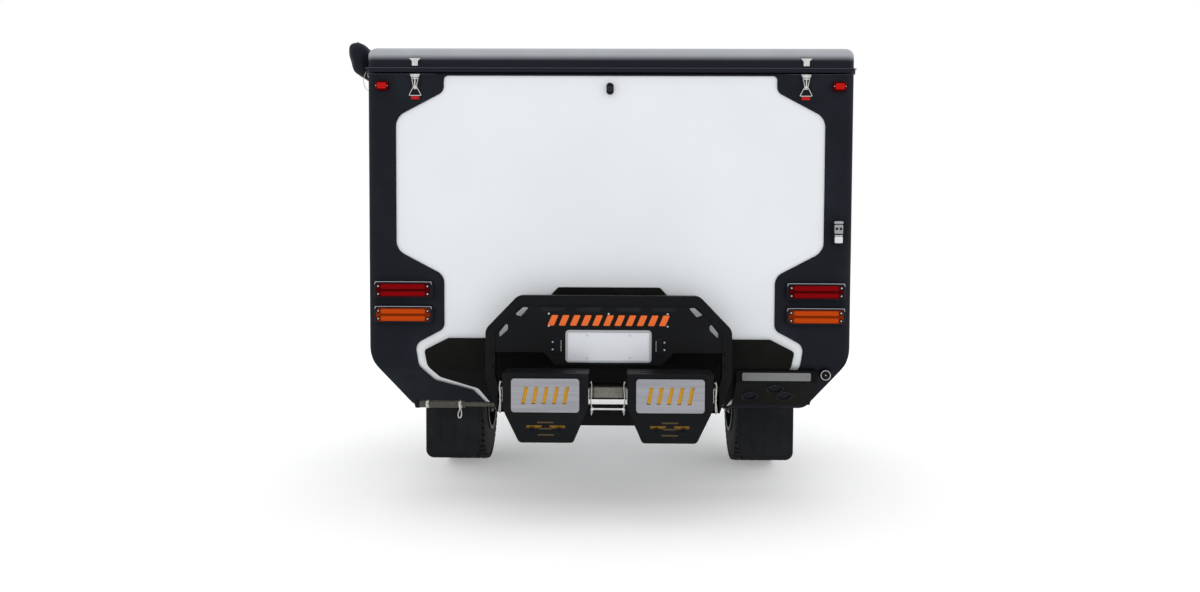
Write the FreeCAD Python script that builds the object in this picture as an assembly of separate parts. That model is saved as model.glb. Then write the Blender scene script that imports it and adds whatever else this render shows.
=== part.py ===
import FreeCAD, Part
import math
import os
from FreeCAD import Vector as V

# A teardrop camping trailer with a squared, fully dressed rear end.
# Millimetres. +Y is the towing direction, +X the trailer's right side, +Z up.
# The origin is on the ground, midway between the wheels, under their axle line.

# Moulded body
BODY_HALF = 1086
BODY_REAR = -1020
BODY_NOSE = 1980
ROOF_Z = 2078
LID_HEIGHT = 120
SKIRT_Z = 430
FLOOR_Z = 540
FLOOR_THICK = 40
WALL = 40
REAR_CORNER_R = 24
ROOM_CORNER_R = 30
NOSE_CORNER_R = 420
FLANK_TURN_Z = 690
FLANK_TURN_IN = 180
REAR_TURN_Z = 640
REAR_TURN_RUN = 190
BELLY_FRONT = 1640
NOSE_LOW_Z = 760
NOSE_HIGH_Z = 1130
BROW_Y = 1450
BROW_R = 1040
NOSE_R = 560
TUNNEL_HALF = 545

# Roof lid, hinged across its front edge
LID_FRONT = 640
LID_GAP = 8
LID_WALL = 28
LID_OVERHANG = 4
LID_LIP = 7
LID_LIP_HEIGHT = 20
LID_HINGE_RISE = 10
LID_HINGE_X = 720
LID_EDGE_R = 36
KNUCKLE_R = 9
KNUCKLE_LENGTH = 60
KNUCKLE_GAP = 0.5
LEAF_THICK = 5
LEAF_REACH = 58

# Awning bag and its folded brackets
AWNING_LENGTH = 1560
AWNING_REAR = -985
AWNING_GAP = 5
AWNING_WIDTH = 96
AWNING_HEIGHT = 166
AWNING_RISE = 46
BRACKET_PLACES = (-760, 330)
BRACKET_WIDTH = 80
BRACKET_DROP = 60

# Rear skins, each a layer over the one before
PANEL_SKIN = 12
COVER_SKIN = 20
LOWER_SKIN = 34
COVER_WRAP = 260
PANEL_DROP = 6
COVER_RISE = 2
PANEL_MARGIN = 111
PANEL_SHOULDER = 330
BAND_MARGIN = 196
PANEL_SHOULDER_DROP = 72
PANEL_WAIST_DROP = 187
PANEL_WAIST_LOW_Z = 1160
PANEL_HIP_Z = 1045
BAND_TOP_Z = 800
BAND_HIGH_Z = 728
BAND_LOW_Z = 625
BAND_TURN_Z = 552
BAND_FOOT_Z = 500
PLINTH_HALF = 232
PLINTH_TOP = 993

# Lamps and small rear fittings
LAMP_MARGIN = 30
LAMP_HALF = 136
LAMP_HEIGHT = 78
LAMP_DEPTH = 26
LAMP_RED_Z = 977
LAMP_AMBER_Z = 864
LENS_EDGE = 12
LENS_THICK = 16
LENS_PROUD = 4
MARKER_MARGIN = 42
MARKER_WIDTH = 60
MARKER_DROP = 78
MARKER_HEIGHT = 42
LATCH_X = 884
LATCH_WIDTH = 42
LATCH_DROP = 70
LATCH_DEPTH = 16
STRIKER_WIDTH = 53
STRIKER_RISE = 8
STRIKER_HEIGHT = 34
STRIKER_DEPTH = 10
CAMERA_HALF = 16
CAMERA_DROP = 84
CAMERA_HEIGHT = 50
CAMERA_EYE_R = 9
SOCKET_MARGIN = 48
SOCKET_WIDTH = 46
SOCKET_Z = 1196
SOCKET_HEIGHT = 104
OUTLET_MARGIN = 115
OUTLET_Z = 596
OUTLET_R = 25
SERVICE_CLEAR = 88
SERVICE_MARGIN = 159
SERVICE_TOP = 618
SERVICE_SILL = 52
SERVICE_SLOPE = 214
SERVICE_RUN = 170
SERVICE_FALL = 130
SERVICE_PORT_R = 33

# Side doors
DOOR_REAR = 560
DOOR_FRONT = 1240
DOOR_BOTTOM = 730
DOOR_DROP = 138
DOOR_CORNER_R = 110
DOOR_GAP = 6
WINDOW_MARGIN = 95
WINDOW_HEIGHT = 535
WINDOW_CORNER_R = 80
GLASS_THICK = 6
GLASS_INSET = 14
HINGE_OUT = 12
HINGE_RISE = 200
HINGE_DROP = 180
STRAP_LENGTH = 130
STRAP_THICK = 6
STRAP_HEIGHT = 36
DOOR_KNUCKLE_R = 8
HANDLE_INSET = 62
HANDLE_Z = 1095

# Running gear
AXLE_Z = 385
TYRE_R = 385
TYRE_WIDTH = 245
RIM_R = 216
RIM_LIP = 8
RIM_FLANGE = 6
TYRE_SHOULDER = 34
RIM_BARREL = 10
DISC_FACE = 60
DISC_THICK = 10
DISC_EYE_R = 114
HUB_FACE = 30
HUB_FACE_R = 96
HUB_CAP = 62
HUB_CAP_R = 46
HUB_R = 44
TRACK_HALF = 780
ARCH_R = 470
ARCH_INNER = 500
ARCH_LIP = 46
ARCH_PROUD = 26
TUB_WALL = 25
RIM_WINDOWS = 8
RIM_WINDOW_RING = 166
RIM_WINDOW_R = 22
SPINDLE_R = 20
ARM_PIVOT_Y = 520
ARM_PIVOT_Z = 400
ARM_PIVOT_R = 34
ARM_X0 = 510
ARM_X1 = 620
ARM_TOP = 430
DRUM_R = 128
HUB_CLEARANCE = 0.5
SPRING_Y = 150
SPRING_TOP = 600
SPRING_R = 58
SPRING_WAIST_R = 44
SEAT_PLATE = 6
SEAT_BEHIND = 70
SEAT_AHEAD = 240
DAMPER_R = 26
DAMPER_ROD_R = 10
FLAP_Y = -670
FLAP_INNER = 632
FLAP_OUTER = 905
FLAP_BOTTOM = 130
FLAP_THICK = 8

# Chassis and drawbar
RAIL_X = 470
RAIL_WIDTH = 50
RAIL_HEIGHT = 100
RAIL_WALL = 4
CHASSIS_REAR = -1120
CHASSIS_FRONT = 1480
CROSS_PLACES = (-960, -560, 480, 1100)
CROSS_WIDTH = 50
CROSS_HEIGHT = 70
DRAWBAR_TIP = 2900
DRAWBAR_TIP_X = 60
GUSSET_THICK = 6
GUSSET_LENGTH = 450
GUSSET_SPREAD = 120
BEAM_HALF = 50
COUPLING_Y = 3250
COUPLING_HALF = 42
NECK_R = 26
PIN_BORE_R = 13
BOX_CROSS_Y = 2010
GUARD_REAR = -940
GUARD_LENGTH = 340
GUARD_HALF = 430
GUARD_FLAT = 330
GUARD_DROP = 100
GUARD_PLATE = 5

# Rear carrier
HOOP_Y = -1190
HOOP_DEPTH = 50
HOOP_LEG = 52
HOOP_TOP = 962
HOOP_SHOULDER_Z = 811
HOOP_KNEE_Z = 591
HOOP_HALF = 549
HOOP_CHAMFER = 146
HOOP_FOOT_OUT = 27
HOOP_FOOT_Z = 440
HOOP_BEND_R = 30
SIGN_BOTTOM = 708
SIGN_TAB = 653
SIGN_SLOTS = (-252, -84, 84, 252)
SIGN_SLOT_HALF = 60
SIGN_SLOT_Z = 880
SIGN_SLOT_HEIGHT = 23
SIGN_SLOT_LEAN = 10
CARRIER_Z0 = 508
CARRIER_Z1 = 551
CAN_X = 266
CAN_FACE_Y = -1420
CAN_DEPTH = 200
HOLDER_TOP = 640
HOLDER_LOW = 334
HOLDER_HALF = 182
HOLDER_FOOT_HALF = 117
HOLDER_TURN_Z = 494
HOLDER_BREAK_Z = 466
HOLDER_SLOPE = 62
CAN_TOP = 596
CAN_CAP_R = 26
PLATE = 4
FACE_HALF = 145
FACE_LOW = 476
FACE_HEIGHT = 144
FACE_SLOTS = 5
TUBE_Z = 458
TUBE_R = 17
TUBE_MARGIN = 226
TUBE_LENGTH = 225

# Jockey wheel
JOCKEY_Y = 2800
JOCKEY_STAND_OFF = 150
JOCKEY_PIVOT_Z = 490
JOCKEY_TUBE_LOW = 380
JOCKEY_TUBE_TOP = 770
JOCKEY_LEG_LOW = 226
JOCKEY_LEG_TOP = 600
JOCKEY_WHEEL_R = 100
JOCKEY_WHEEL_WIDTH = 55
JOCKEY_TRAIL = 35
JOCKEY_OUTER_R = 30
JOCKEY_INNER_R = 24
JOCKEY_CRANK = 88
FORK_CLEARANCE = 6
FORK_PLATE = 5
FORK_AXLE_R = 8

# Storage box on the drawbar
BOX_REAR = 2006
BOX_DEPTH = 324
BOX_HALF = 455
BOX_HEIGHT = 350
BOX_WALL = 5
BOX_SLOPE = 60
BOX_KNEE = 130
BOX_LID_DEPTH = 36
BOX_LID_EDGE = 12

# Bed
BED_REAR = -860
BED_FRONT = 1100
BED_TOP = 960
BED_PLY = 15
MATTRESS_MARGIN = 116
MATTRESS_THICK = 110

# Running gap where a piece only rests near its seat, and the plan outline's stand-off from the flats
SEAT = 0.3
EASE = 0.5

# Places that follow from the sizes above
COVER_HALF = BODY_HALF + COVER_SKIN
COVER_FACE = BODY_REAR - COVER_SKIN
PANEL_SIDE = BODY_HALF - PANEL_MARGIN
PANEL_NECK = BODY_HALF - PANEL_SHOULDER
BAND_HALF = BODY_HALF - BAND_MARGIN
SEAM_Z = ROOF_Z - LID_HEIGHT
PANEL_TOP = SEAM_Z - PANEL_DROP
COVER_TOP = SEAM_Z + COVER_RISE
LID_REAR = COVER_FACE - LID_OVERHANG
LID_LOW_Z = SEAM_Z + LID_OVERHANG * 2
LID_HINGE_Z = ROOF_Z + LID_HINGE_RISE
LAMP_X = COVER_HALF - LAMP_MARGIN - LAMP_HALF
LENS_HALF = LAMP_HALF - LENS_EDGE
RAIL_SIDE = RAIL_X + RAIL_WIDTH / 2
RAIL_LOW_Z = FLOOR_Z - RAIL_HEIGHT
CAN_BACK_Y = CAN_FACE_Y + CAN_DEPTH
AWNING_INNER = COVER_HALF + LID_LIP + AWNING_GAP
BOX_FRONT = BOX_REAR + BOX_DEPTH
BOX_TOP = FLOOR_Z + BOX_HEIGHT
DOOR_TOP = SEAM_Z - DOOR_DROP
HINGE_PLACES = (DOOR_BOTTOM + HINGE_RISE, DOOR_TOP - HINGE_DROP)
HOOP_TOP_HALF = HOOP_HALF - HOOP_CHAMFER
HOOP_FOOT_X = RAIL_X + HOOP_FOOT_OUT
TUBE_OUTER = COVER_HALF - TUBE_MARGIN
SERVICE_X = RAIL_SIDE + SERVICE_CLEAR
SERVICE_WIDTH = COVER_HALF - SERVICE_MARGIN - SERVICE_X
MATTRESS_HALF = BODY_HALF - WALL - MATTRESS_MARGIN



def box(x0, x1, y0, y1, z0, z1):
    """Block between two corners, given as pairs of limits along each axis."""
    return Part.makeBox(x1 - x0, y1 - y0, z1 - z0, V(x0, y0, z0))


def rod(radius, start, end):
    """Round bar between two points."""
    run = end - start
    return Part.makeCylinder(radius, run.Length, start, run)


def outline(corners, place):
    """Closed wire through (a, b, radius) corners; place puts (a, b) in space."""
    count = len(corners)
    turns = []
    for i in range(count):
        here = V(corners[i][0], corners[i][1], 0)
        radius = corners[i][2] if len(corners[i]) > 2 else 0
        if radius <= 0:
            turns.append((here, None, here))
            continue
        after = corners[(i + 1) % count]
        back = (V(corners[i - 1][0], corners[i - 1][1], 0) - here).normalize()
        ahead = (V(after[0], after[1], 0) - here).normalize()
        half = back.getAngle(ahead) / 2
        reach = radius / math.tan(half)
        inward = (back + ahead).normalize()
        crown = here + inward * (radius / math.sin(half) - radius)
        turns.append((here + back * reach, crown, here + ahead * reach))
    edges = []
    for i in range(count):
        start, crown, end = turns[i]
        if crown is not None:
            edges.append(Part.Arc(place(start), place(crown), place(end)).toShape())
        following = turns[(i + 1) % count][0]
        if (following - end).Length > 0.001:
            edges.append(Part.LineSegment(place(end), place(following)).toShape())
    return Part.Wire(edges)


def prism_x(corners, x0, x1):
    """Side-view outline of (y, z, radius) corners, carried from x0 to x1."""
    wire = outline(corners, lambda p: V(x0, p.x, p.y))
    return Part.Face(wire).extrude(V(x1 - x0, 0, 0))


def prism_y(corners, y0, y1):
    """Rear-view outline of (x, z, radius) corners, carried from y0 to y1."""
    wire = outline(corners, lambda p: V(p.x, y0, p.y))
    return Part.Face(wire).extrude(V(0, y1 - y0, 0))


def prism_z(corners, z0, z1):
    """Plan outline of (x, y, radius) corners, carried from z0 to z1."""
    wire = outline(corners, lambda p: V(p.x, p.y, z0))
    return Part.Face(wire).extrude(V(0, 0, z1 - z0))


def turned(profile, centre, axis):
    """Solid of revolution: profile of (along, radius) points about an axis through centre."""
    side = V(0, 0, 1) if abs(axis.z) < 0.9 else V(1, 0, 0)
    wire = outline(profile, lambda p: centre + axis * p.x + side * p.y)
    return Part.Face(wire).revolve(centre, axis, 360)


def both_sides(right_half):
    """Whole symmetric outline from its right half, listed from top to bottom."""
    left_half = []
    for corner in reversed(right_half):
        left_half.append((-corner[0],) + tuple(corner[1:]))
    return list(right_half) + left_half


def mirrored(shape):
    """The same shape on the trailer's other side."""
    return shape.mirror(V(0, 0, 0), V(1, 0, 0))


def joined(shapes):
    """One solid from overlapping or touching ones."""
    whole = shapes[0]
    if len(shapes) > 1:
        whole = whole.fuse(list(shapes[1:]))
    return whole.removeSplitter()


def apart(shapes):
    """Several solids that don't touch, kept as one node."""
    return Part.makeCompound(list(shapes))


def pair(shape):
    """A piece and its mirror image."""
    return apart([shape, mirrored(shape)])


def moulded_block(x0, x1, y0, y1, z0, z1, cut, bevel):
    """Block with cut corners in rear view and a bevelled rear face."""
    corners = [(x0 + cut, z0), (x1 - cut, z0), (x1, z0 + cut), (x1, z1 - cut), (x1 - cut, z1), (x0 + cut, z1),
               (x0, z1 - cut), (x0, z0 + cut)]
    block = prism_y(corners, y0, y1)
    return block.makeChamfer(bevel, edges_where(block, lambda p: p.y < y0 + 0.01))


def largest(shape):
    """The biggest solid of a shape that fell into several."""
    return max(shape.Solids, key=lambda solid: solid.Volume)


def edges_where(shape, test):
    """Edges of a shape whose middle point passes the test."""
    chosen = []
    for edge in shape.Edges:
        middle = edge.valueAt((edge.FirstParameter + edge.LastParameter) / 2)
        if test(middle):
            chosen.append(edge)
    return chosen


def body_form(skin, top=SEAM_Z):
    """Body's outside, grown by skin: where its side, rear and plan outlines meet."""
    rear = BODY_REAR - skin
    nose = BODY_NOSE + skin
    half = BODY_HALF + skin
    side = [(rear, top), (rear, REAR_TURN_Z - skin / 2, 60 + skin),
            (BODY_REAR + REAR_TURN_RUN - skin / 2, SKIRT_Z - skin, 60),
            (BELLY_FRONT + skin / 2, SKIRT_Z - skin, 90), (nose, NOSE_LOW_Z - skin / 2, 160 + skin),
            (nose, NOSE_HIGH_Z, NOSE_R), (BROW_Y + skin / 2, ROOF_Z + skin, BROW_R),
            (LID_FRONT + LID_GAP, ROOF_Z + skin), (LID_FRONT + LID_GAP, top)]
    flank = both_sides([(half, ROOF_Z + 100), (half, FLANK_TURN_Z - skin / 3, 150 + skin),
                        (half - FLANK_TURN_IN, SKIRT_Z - skin, 60)])
    plan = both_sides([(half + EASE, nose + EASE, NOSE_CORNER_R + skin),
                       (half + EASE, rear - EASE, REAR_CORNER_R + skin)])
    form = prism_x(side, -half - 10, half + 10)
    form = form.common(prism_y(flank, rear - 10, nose + 10))
    return form.common(prism_z(plan, 0, ROOF_Z + 200))


def cabin_space():
    """The room inside the walls, open at the top under the roof lid."""
    rear = BODY_REAR + WALL
    nose = BODY_NOSE - WALL
    half = BODY_HALF - WALL
    floor = FLOOR_Z + FLOOR_THICK
    beam_z = SEAM_Z - WALL
    side = [(rear, SEAM_Z + 50), (rear, floor + 90, 60), (rear + 80, floor, 60), (nose - 180, floor, 90),
            (nose, NOSE_LOW_Z + 40, 120), (nose, NOSE_HIGH_Z - 10, NOSE_R),
            (BROW_Y - WALL / 2, ROOF_Z - WALL, BROW_R - WALL), (LID_FRONT + LID_GAP + WALL, ROOF_Z - WALL),
            (LID_FRONT + LID_GAP + WALL, beam_z), (LID_FRONT - WALL, beam_z), (LID_FRONT - WALL, SEAM_Z + 50)]
    flank = both_sides([(half, ROOF_Z + 100), (half, FLANK_TURN_Z, 120), (half - 90, floor, 40)])
    plan = both_sides([(half + EASE, nose + EASE, NOSE_CORNER_R - WALL),
                       (half + EASE, rear - EASE, ROOM_CORNER_R)])
    space = prism_x(side, -half - 10, half + 10)
    space = space.common(prism_y(flank, rear - 10, nose + 10))
    return space.common(prism_z(plan, 0, ROOF_Z + 200))


def wheel_space(radius, inner):
    """Round-topped space over one wheel, open below, from inner out past the flank."""
    outer = BODY_HALF + 60
    drum = rod(radius, V(inner, 0, AXLE_Z), V(outer, 0, AXLE_Z))
    below = box(inner, outer, -radius, radius, SKIRT_Z - 60, AXLE_Z)
    return joined([drum, below])


def door_outline(gap):
    """Side-view corners of the door opening, drawn in by gap."""
    y0 = DOOR_REAR + gap
    y1 = DOOR_FRONT - gap
    z0 = DOOR_BOTTOM + gap
    z1 = DOOR_TOP - gap
    radius = DOOR_CORNER_R - gap
    return [(y0, z0, radius), (y1, z0, radius), (y1, z1, radius), (y0, z1, radius)]


def window_outline():
    """Side-view corners of the window in each door."""
    y0 = DOOR_REAR + WINDOW_MARGIN
    y1 = DOOR_FRONT - WINDOW_MARGIN
    z1 = DOOR_TOP - WINDOW_MARGIN
    z0 = z1 - WINDOW_HEIGHT
    radius = WINDOW_CORNER_R
    return [(y0, z0, radius), (y1, z0, radius), (y1, z1, radius), (y0, z1, radius)]


def frame_space():
    """Room under the floor for the chassis, with a pocket round each arm's pivot."""
    tunnel = box(-TUNNEL_HALF, TUNNEL_HALF, BODY_REAR - 100, BODY_NOSE + 50, SKIRT_Z - 60, FLOOR_Z)
    pocket = box(-ARM_X1 - 20, ARM_X1 + 20, ARM_PIVOT_Y - 120, ARM_PIVOT_Y + 60, SKIRT_Z - 60, FLOOR_Z)
    return joined([tunnel, pocket])


def body_shell():
    """Hollow moulded body: walls, floor, wheel tubs, hood over the bed's foot, door openings."""
    shell = body_form(0)
    tubs = wheel_space(ARCH_R + TUB_WALL, ARCH_INNER - TUB_WALL)
    room = cabin_space().cut(tubs).cut(mirrored(tubs))
    shell = shell.cut(room)
    arch = wheel_space(ARCH_R, ARCH_INNER)
    shell = shell.cut(arch).cut(mirrored(arch))
    shell = shell.cut(frame_space())
    doorway = prism_x(door_outline(0), BODY_HALF - WALL - 60, BODY_HALF + 60)
    return shell.cut(doorway).cut(mirrored(doorway))


def door_panel():
    """Right side door: a full-thickness slice of the flank with its window cut."""
    slab = body_form(0).cut(body_form(-WALL))
    slab = slab.common(prism_x(door_outline(DOOR_GAP), BODY_HALF - WALL, BODY_HALF + 10))
    return slab.cut(prism_x(window_outline(), BODY_HALF - WALL - 10, BODY_HALF + 20))


def door_window():
    """Pane of the right side door, set into its window opening."""
    outer = BODY_HALF - GLASS_INSET
    return prism_x(window_outline(), outer - GLASS_THICK, outer)


def panel_outline():
    """Right-half corners of the white rear panel: shoulder, waist, hip and the band below."""
    return [(PANEL_NECK, PANEL_TOP, 20), (PANEL_NECK, PANEL_TOP - PANEL_SHOULDER_DROP, 40),
            (PANEL_SIDE, PANEL_TOP - PANEL_WAIST_DROP, 70), (PANEL_SIDE, PANEL_WAIST_LOW_Z, 70),
            (PANEL_NECK, PANEL_HIP_Z, 60), (PANEL_NECK, BAND_TOP_Z, 40),
            (BAND_HALF, BAND_HIGH_Z, 45), (BAND_HALF - 16, BAND_LOW_Z, 60), (BAND_HALF - 78, BAND_TURN_Z, 40),
            (BAND_HALF - 250, BAND_FOOT_Z, 30), (BAND_HALF - 330, SKIRT_Z - 30)]


def lower_outline():
    """Right-half corners of the black lower panel, which leaves the white band round it."""
    return [(BAND_HALF - 152, BAND_HIGH_Z + 29, 12), (BAND_HALF - 44, BAND_HIGH_Z - 26, 16),
            (BAND_HALF - 58, BAND_LOW_Z + 3, 50), (BAND_HALF - 110, BAND_TURN_Z + 20, 40),
            (BAND_HALF - 280, BAND_FOOT_Z + 12, 30), (BAND_HALF - 350, SKIRT_Z - 30)]


def skin_layer(inner, outer):
    """Thin layer between two sizes of the body's outside."""
    return body_form(outer, COVER_TOP).cut(body_form(inner, COVER_TOP + 1))


def rear_cut(right_half):
    """Rear-view outline carried through the body's rear face and the turn below it."""
    return prism_y(both_sides(right_half), BODY_REAR - 100, BODY_REAR + REAR_TURN_RUN + 20)


def rear_panel():
    """White panel across the rear, whose lower edge spreads into a band on each side."""
    layer = skin_layer(0, PANEL_SKIN)
    return layer.common(rear_cut(panel_outline())).cut(frame_space())


def lower_panel():
    """Black lower rear panel with the raised plinth behind the hoop."""
    layer = skin_layer(PANEL_SKIN, LOWER_SKIN)
    panel = layer.common(rear_cut(lower_outline())).cut(frame_space())
    plinth = both_sides([(PLINTH_HALF, PLINTH_TOP, 12), (PLINTH_HALF + 36, PLINTH_TOP - 38, 20),
                         (PLINTH_HALF + 36, BAND_HIGH_Z + 12)])
    return joined([panel, prism_y(plinth, BODY_REAR - LOWER_SKIN, BODY_REAR - PANEL_SKIN)])


def corner_cover():
    """Black cover wrapped round the body's right rear corner, from lid seam to skirt."""
    layer = skin_layer(0, COVER_SKIN)
    reach = box(0, BODY_HALF + 60, BODY_REAR - 60, BODY_REAR + COVER_WRAP, SKIRT_Z - 60, COVER_TOP)
    return largest(layer.common(reach).cut(rear_cut(panel_outline())).cut(frame_space()))


def roof_lid():
    """Hollow roof lid with rounded shoulders and a thicker lip along its lower edge."""
    corner = REAR_CORNER_R + COVER_SKIN
    lid = prism_z(both_sides([(COVER_HALF, LID_FRONT), (COVER_HALF, LID_REAR, corner)]), LID_LOW_Z, ROOF_Z)
    lid = lid.makeFillet(LID_EDGE_R, edges_where(lid, lambda p: p.z > ROOF_Z - 1 and p.y < LID_FRONT - 1))
    lip_half = COVER_HALF + LID_LIP
    lip = both_sides([(lip_half, LID_FRONT), (lip_half, LID_REAR - LID_LIP, corner + LID_LIP)])
    lid = joined([lid, prism_z(lip, LID_LOW_Z, LID_LOW_Z + LID_LIP_HEIGHT)])
    inside = both_sides([(COVER_HALF - LID_WALL, LID_FRONT - LID_WALL),
                         (COVER_HALF - LID_WALL, LID_REAR + LID_WALL, REAR_CORNER_R)])
    return lid.cut(prism_z(inside, LID_LOW_Z - 1, ROOF_Z - LID_WALL))


def hinge_halves(spans, y):
    """Hinge barrels on the lid's axis over each span of x, with leaves reaching to y on the roof."""
    axis_y = LID_FRONT + LID_GAP / 2
    pieces = []
    for centre in (-LID_HINGE_X, 0, LID_HINGE_X):
        for low, high in spans:
            start = V(centre + low, axis_y, LID_HINGE_Z)
            barrel = rod(KNUCKLE_R, start, start + V(high - low, 0, 0))
            y0, y1 = sorted((axis_y, y))
            leaf = box(centre + low, centre + high, y0, y1, ROOF_Z, ROOF_Z + LEAF_THICK)
            pieces.append(joined([barrel, leaf]))
    return apart(pieces)


def hood_hinges():
    """Fixed halves of the lid's three hinges, on the hood."""
    gap = KNUCKLE_LENGTH / 2 + KNUCKLE_GAP
    far = KNUCKLE_LENGTH * 1.5
    return hinge_halves([(-far, -gap), (gap, far)], LID_FRONT + LEAF_REACH)


def lid_hinges():
    """Moving halves of the lid's three hinges, on the lid."""
    return hinge_halves([(-KNUCKLE_LENGTH / 2, KNUCKLE_LENGTH / 2)], LID_FRONT - LEAF_REACH)


def awning_bag():
    """Rolled awning in its bag, along the lid's left side: a slanted, rounded roll."""
    top = ROOF_Z + AWNING_RISE
    low = top - AWNING_HEIGHT
    outer = AWNING_INNER + AWNING_WIDTH
    corners = [(-outer, top - 6, 28), (-AWNING_INNER, top, 30), (-AWNING_INNER, low + 4, 30),
               (-outer + 22, low, 34)]
    front = AWNING_REAR + AWNING_LENGTH
    bag = prism_y(corners, AWNING_REAR, front)
    return bag.makeChamfer(12, edges_where(bag, lambda p: p.y < AWNING_REAR + 1 or p.y > front - 1))


def awning_brackets():
    """Folded plates from the lid's top out to the awning bag."""
    pieces = []
    inner = -AWNING_INNER + SEAT
    for y in BRACKET_PLACES:
        y0 = y - BRACKET_WIDTH / 2
        y1 = y + BRACKET_WIDTH / 2
        top = box(inner, -COVER_HALF + 125, y0, y1, ROOF_Z, ROOF_Z + LEAF_THICK)
        back = box(inner, inner + LEAF_THICK - SEAT, y0, y1, ROOF_Z - BRACKET_DROP, ROOF_Z + LEAF_THICK)
        pieces.append(joined([top, back]))
    return apart(pieces)


def lid_latches():
    """Over-centre latches below the lid seam at the rear: a plate and a tapered lever."""
    half = LATCH_WIDTH / 2
    high = COVER_TOP - 2
    low = COVER_TOP - LATCH_DROP
    plate = box(LATCH_X - half, LATCH_X + half, COVER_FACE - 4, COVER_FACE, low, high)
    lever = [(LATCH_X - half + 3, high - 8), (LATCH_X + half - 3, high - 8), (LATCH_X + 7, low + 4),
             (LATCH_X - 7, low + 4)]
    return pair(joined([plate, prism_y(lever, COVER_FACE - LATCH_DEPTH, COVER_FACE - 4)]))


def lid_strikers():
    """T-shaped plates on the lid that the latches pull on."""
    half = STRIKER_WIDTH / 2
    stem = half / 2
    low = LID_LOW_Z + LID_LIP_HEIGHT + STRIKER_RISE
    high = low + STRIKER_HEIGHT
    corners = [(LATCH_X - half, high), (LATCH_X + half, high), (LATCH_X + stem, high - stem),
               (LATCH_X + stem, low), (LATCH_X - stem, low), (LATCH_X - stem, high - stem)]
    return pair(prism_y(corners, LID_REAR - STRIKER_DEPTH, LID_REAR))


def lens_block(z, thick):
    """Lens outline of one right strip lamp, as thick as asked, from its outer face in."""
    face = COVER_FACE - LAMP_DEPTH - LENS_PROUD
    half = LAMP_HEIGHT / 2 - 9
    cut = 8
    right = [(LENS_HALF - cut, half), (LENS_HALF, half - cut), (LENS_HALF, -half + cut),
             (LENS_HALF - cut, -half)]
    return prism_y([(LAMP_X + x, z + dz) for x, dz in both_sides(right)], face, face + thick)


def lamp_lens(z):
    """One right strip lens, standing just proud of its surround."""
    lens = lens_block(z, LENS_THICK)
    front = COVER_FACE - LAMP_DEPTH - LENS_PROUD + 1
    return lens.makeChamfer(3, edges_where(lens, lambda p: p.y < front))


def lamp_bezel(z):
    """Rounded black surround of one right strip lamp, with its lens seat cut."""
    face = COVER_FACE - LAMP_DEPTH
    half = LAMP_HEIGHT / 2
    corners = [(LAMP_X - LAMP_HALF, z - half, 18), (LAMP_X + LAMP_HALF, z - half, 18),
               (LAMP_X + LAMP_HALF, z + half, 18), (LAMP_X - LAMP_HALF, z + half, 18)]
    bezel = prism_y(corners, face, BODY_REAR + 40)
    bezel = bezel.makeChamfer(7, edges_where(bezel, lambda p: p.y < face + 1))
    return bezel.cut(body_form(COVER_SKIN, COVER_TOP)).cut(lens_block(z, LENS_THICK))


def lamp_bezels():
    """Surrounds of the four strip lamps."""
    shapes = []
    for z in (LAMP_RED_Z, LAMP_AMBER_Z):
        bezel = lamp_bezel(z)
        shapes.extend([bezel, mirrored(bezel)])
    return apart(shapes)


def marker_lamps():
    """Small red marker lamps high on the rear corners."""
    outer = COVER_HALF - MARKER_MARGIN
    low = COVER_TOP - MARKER_DROP
    lamp = moulded_block(outer - MARKER_WIDTH, outer, COVER_FACE - 24, BODY_REAR + 60, low,
                         low + MARKER_HEIGHT, 8, 5)
    return pair(lamp.cut(body_form(COVER_SKIN, COVER_TOP)))


def rear_camera():
    """Reversing camera under the panel's top edge."""
    face = BODY_REAR - PANEL_SKIN
    low = PANEL_TOP - CAMERA_DROP
    case = moulded_block(-CAMERA_HALF, CAMERA_HALF, face - 30, face, low, low + CAMERA_HEIGHT, 9, 5)
    eye_z = low + CAMERA_HEIGHT / 2 - 3
    return joined([case, rod(CAMERA_EYE_R, V(0, face - 36, eye_z), V(0, face - 29, eye_z))])


def service_socket():
    """Lidded outlet on the right corner cover and a round one low on the same corner."""
    outer = COVER_HALF - SOCKET_MARGIN
    case = moulded_block(outer - SOCKET_WIDTH, outer, COVER_FACE - 34, BODY_REAR + 40, SOCKET_Z,
                         SOCKET_Z + SOCKET_HEIGHT, 7, 5)
    place = COVER_HALF - OUTLET_MARGIN
    outlet = rod(OUTLET_R, V(place, COVER_FACE - 2, OUTLET_Z), V(place, BODY_REAR + 90, OUTLET_Z))
    skin = body_form(COVER_SKIN, COVER_TOP)
    return apart([case.cut(skin), largest(outlet.cut(skin))])


def service_box():
    """Box under the right rear corner with a light sill and three ports in its sloping face."""
    face = BODY_REAR - LOWER_SKIN - 4
    low = V(0, face, SERVICE_TOP - SERVICE_SILL)
    slope = V(0, SERVICE_RUN, -SERVICE_FALL).normalize()
    inward = V(0, -slope.z, slope.y)
    end = low + slope * SERVICE_SLOPE
    side = [(face, SERVICE_TOP, 8), (face, low.z, 10), (end.y, end.z), (end.y + 60, end.z),
            (end.y + 60, SERVICE_TOP)]
    case = prism_x(side, SERVICE_X, SERVICE_X + SERVICE_WIDTH)
    case = case.cut(body_form(COVER_SKIN, COVER_TOP)).cut(lower_panel())
    for across, along in ((0.5, 0.29), (0.2, 0.6), (0.64, 0.6)):
        port = V(SERVICE_X + SERVICE_WIDTH * across, low.y, low.z) + slope * (SERVICE_SLOPE * along)
        case = case.cut(rod(SERVICE_PORT_R, port - inward * 20, port + inward * 7))
    return largest(case)


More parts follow.
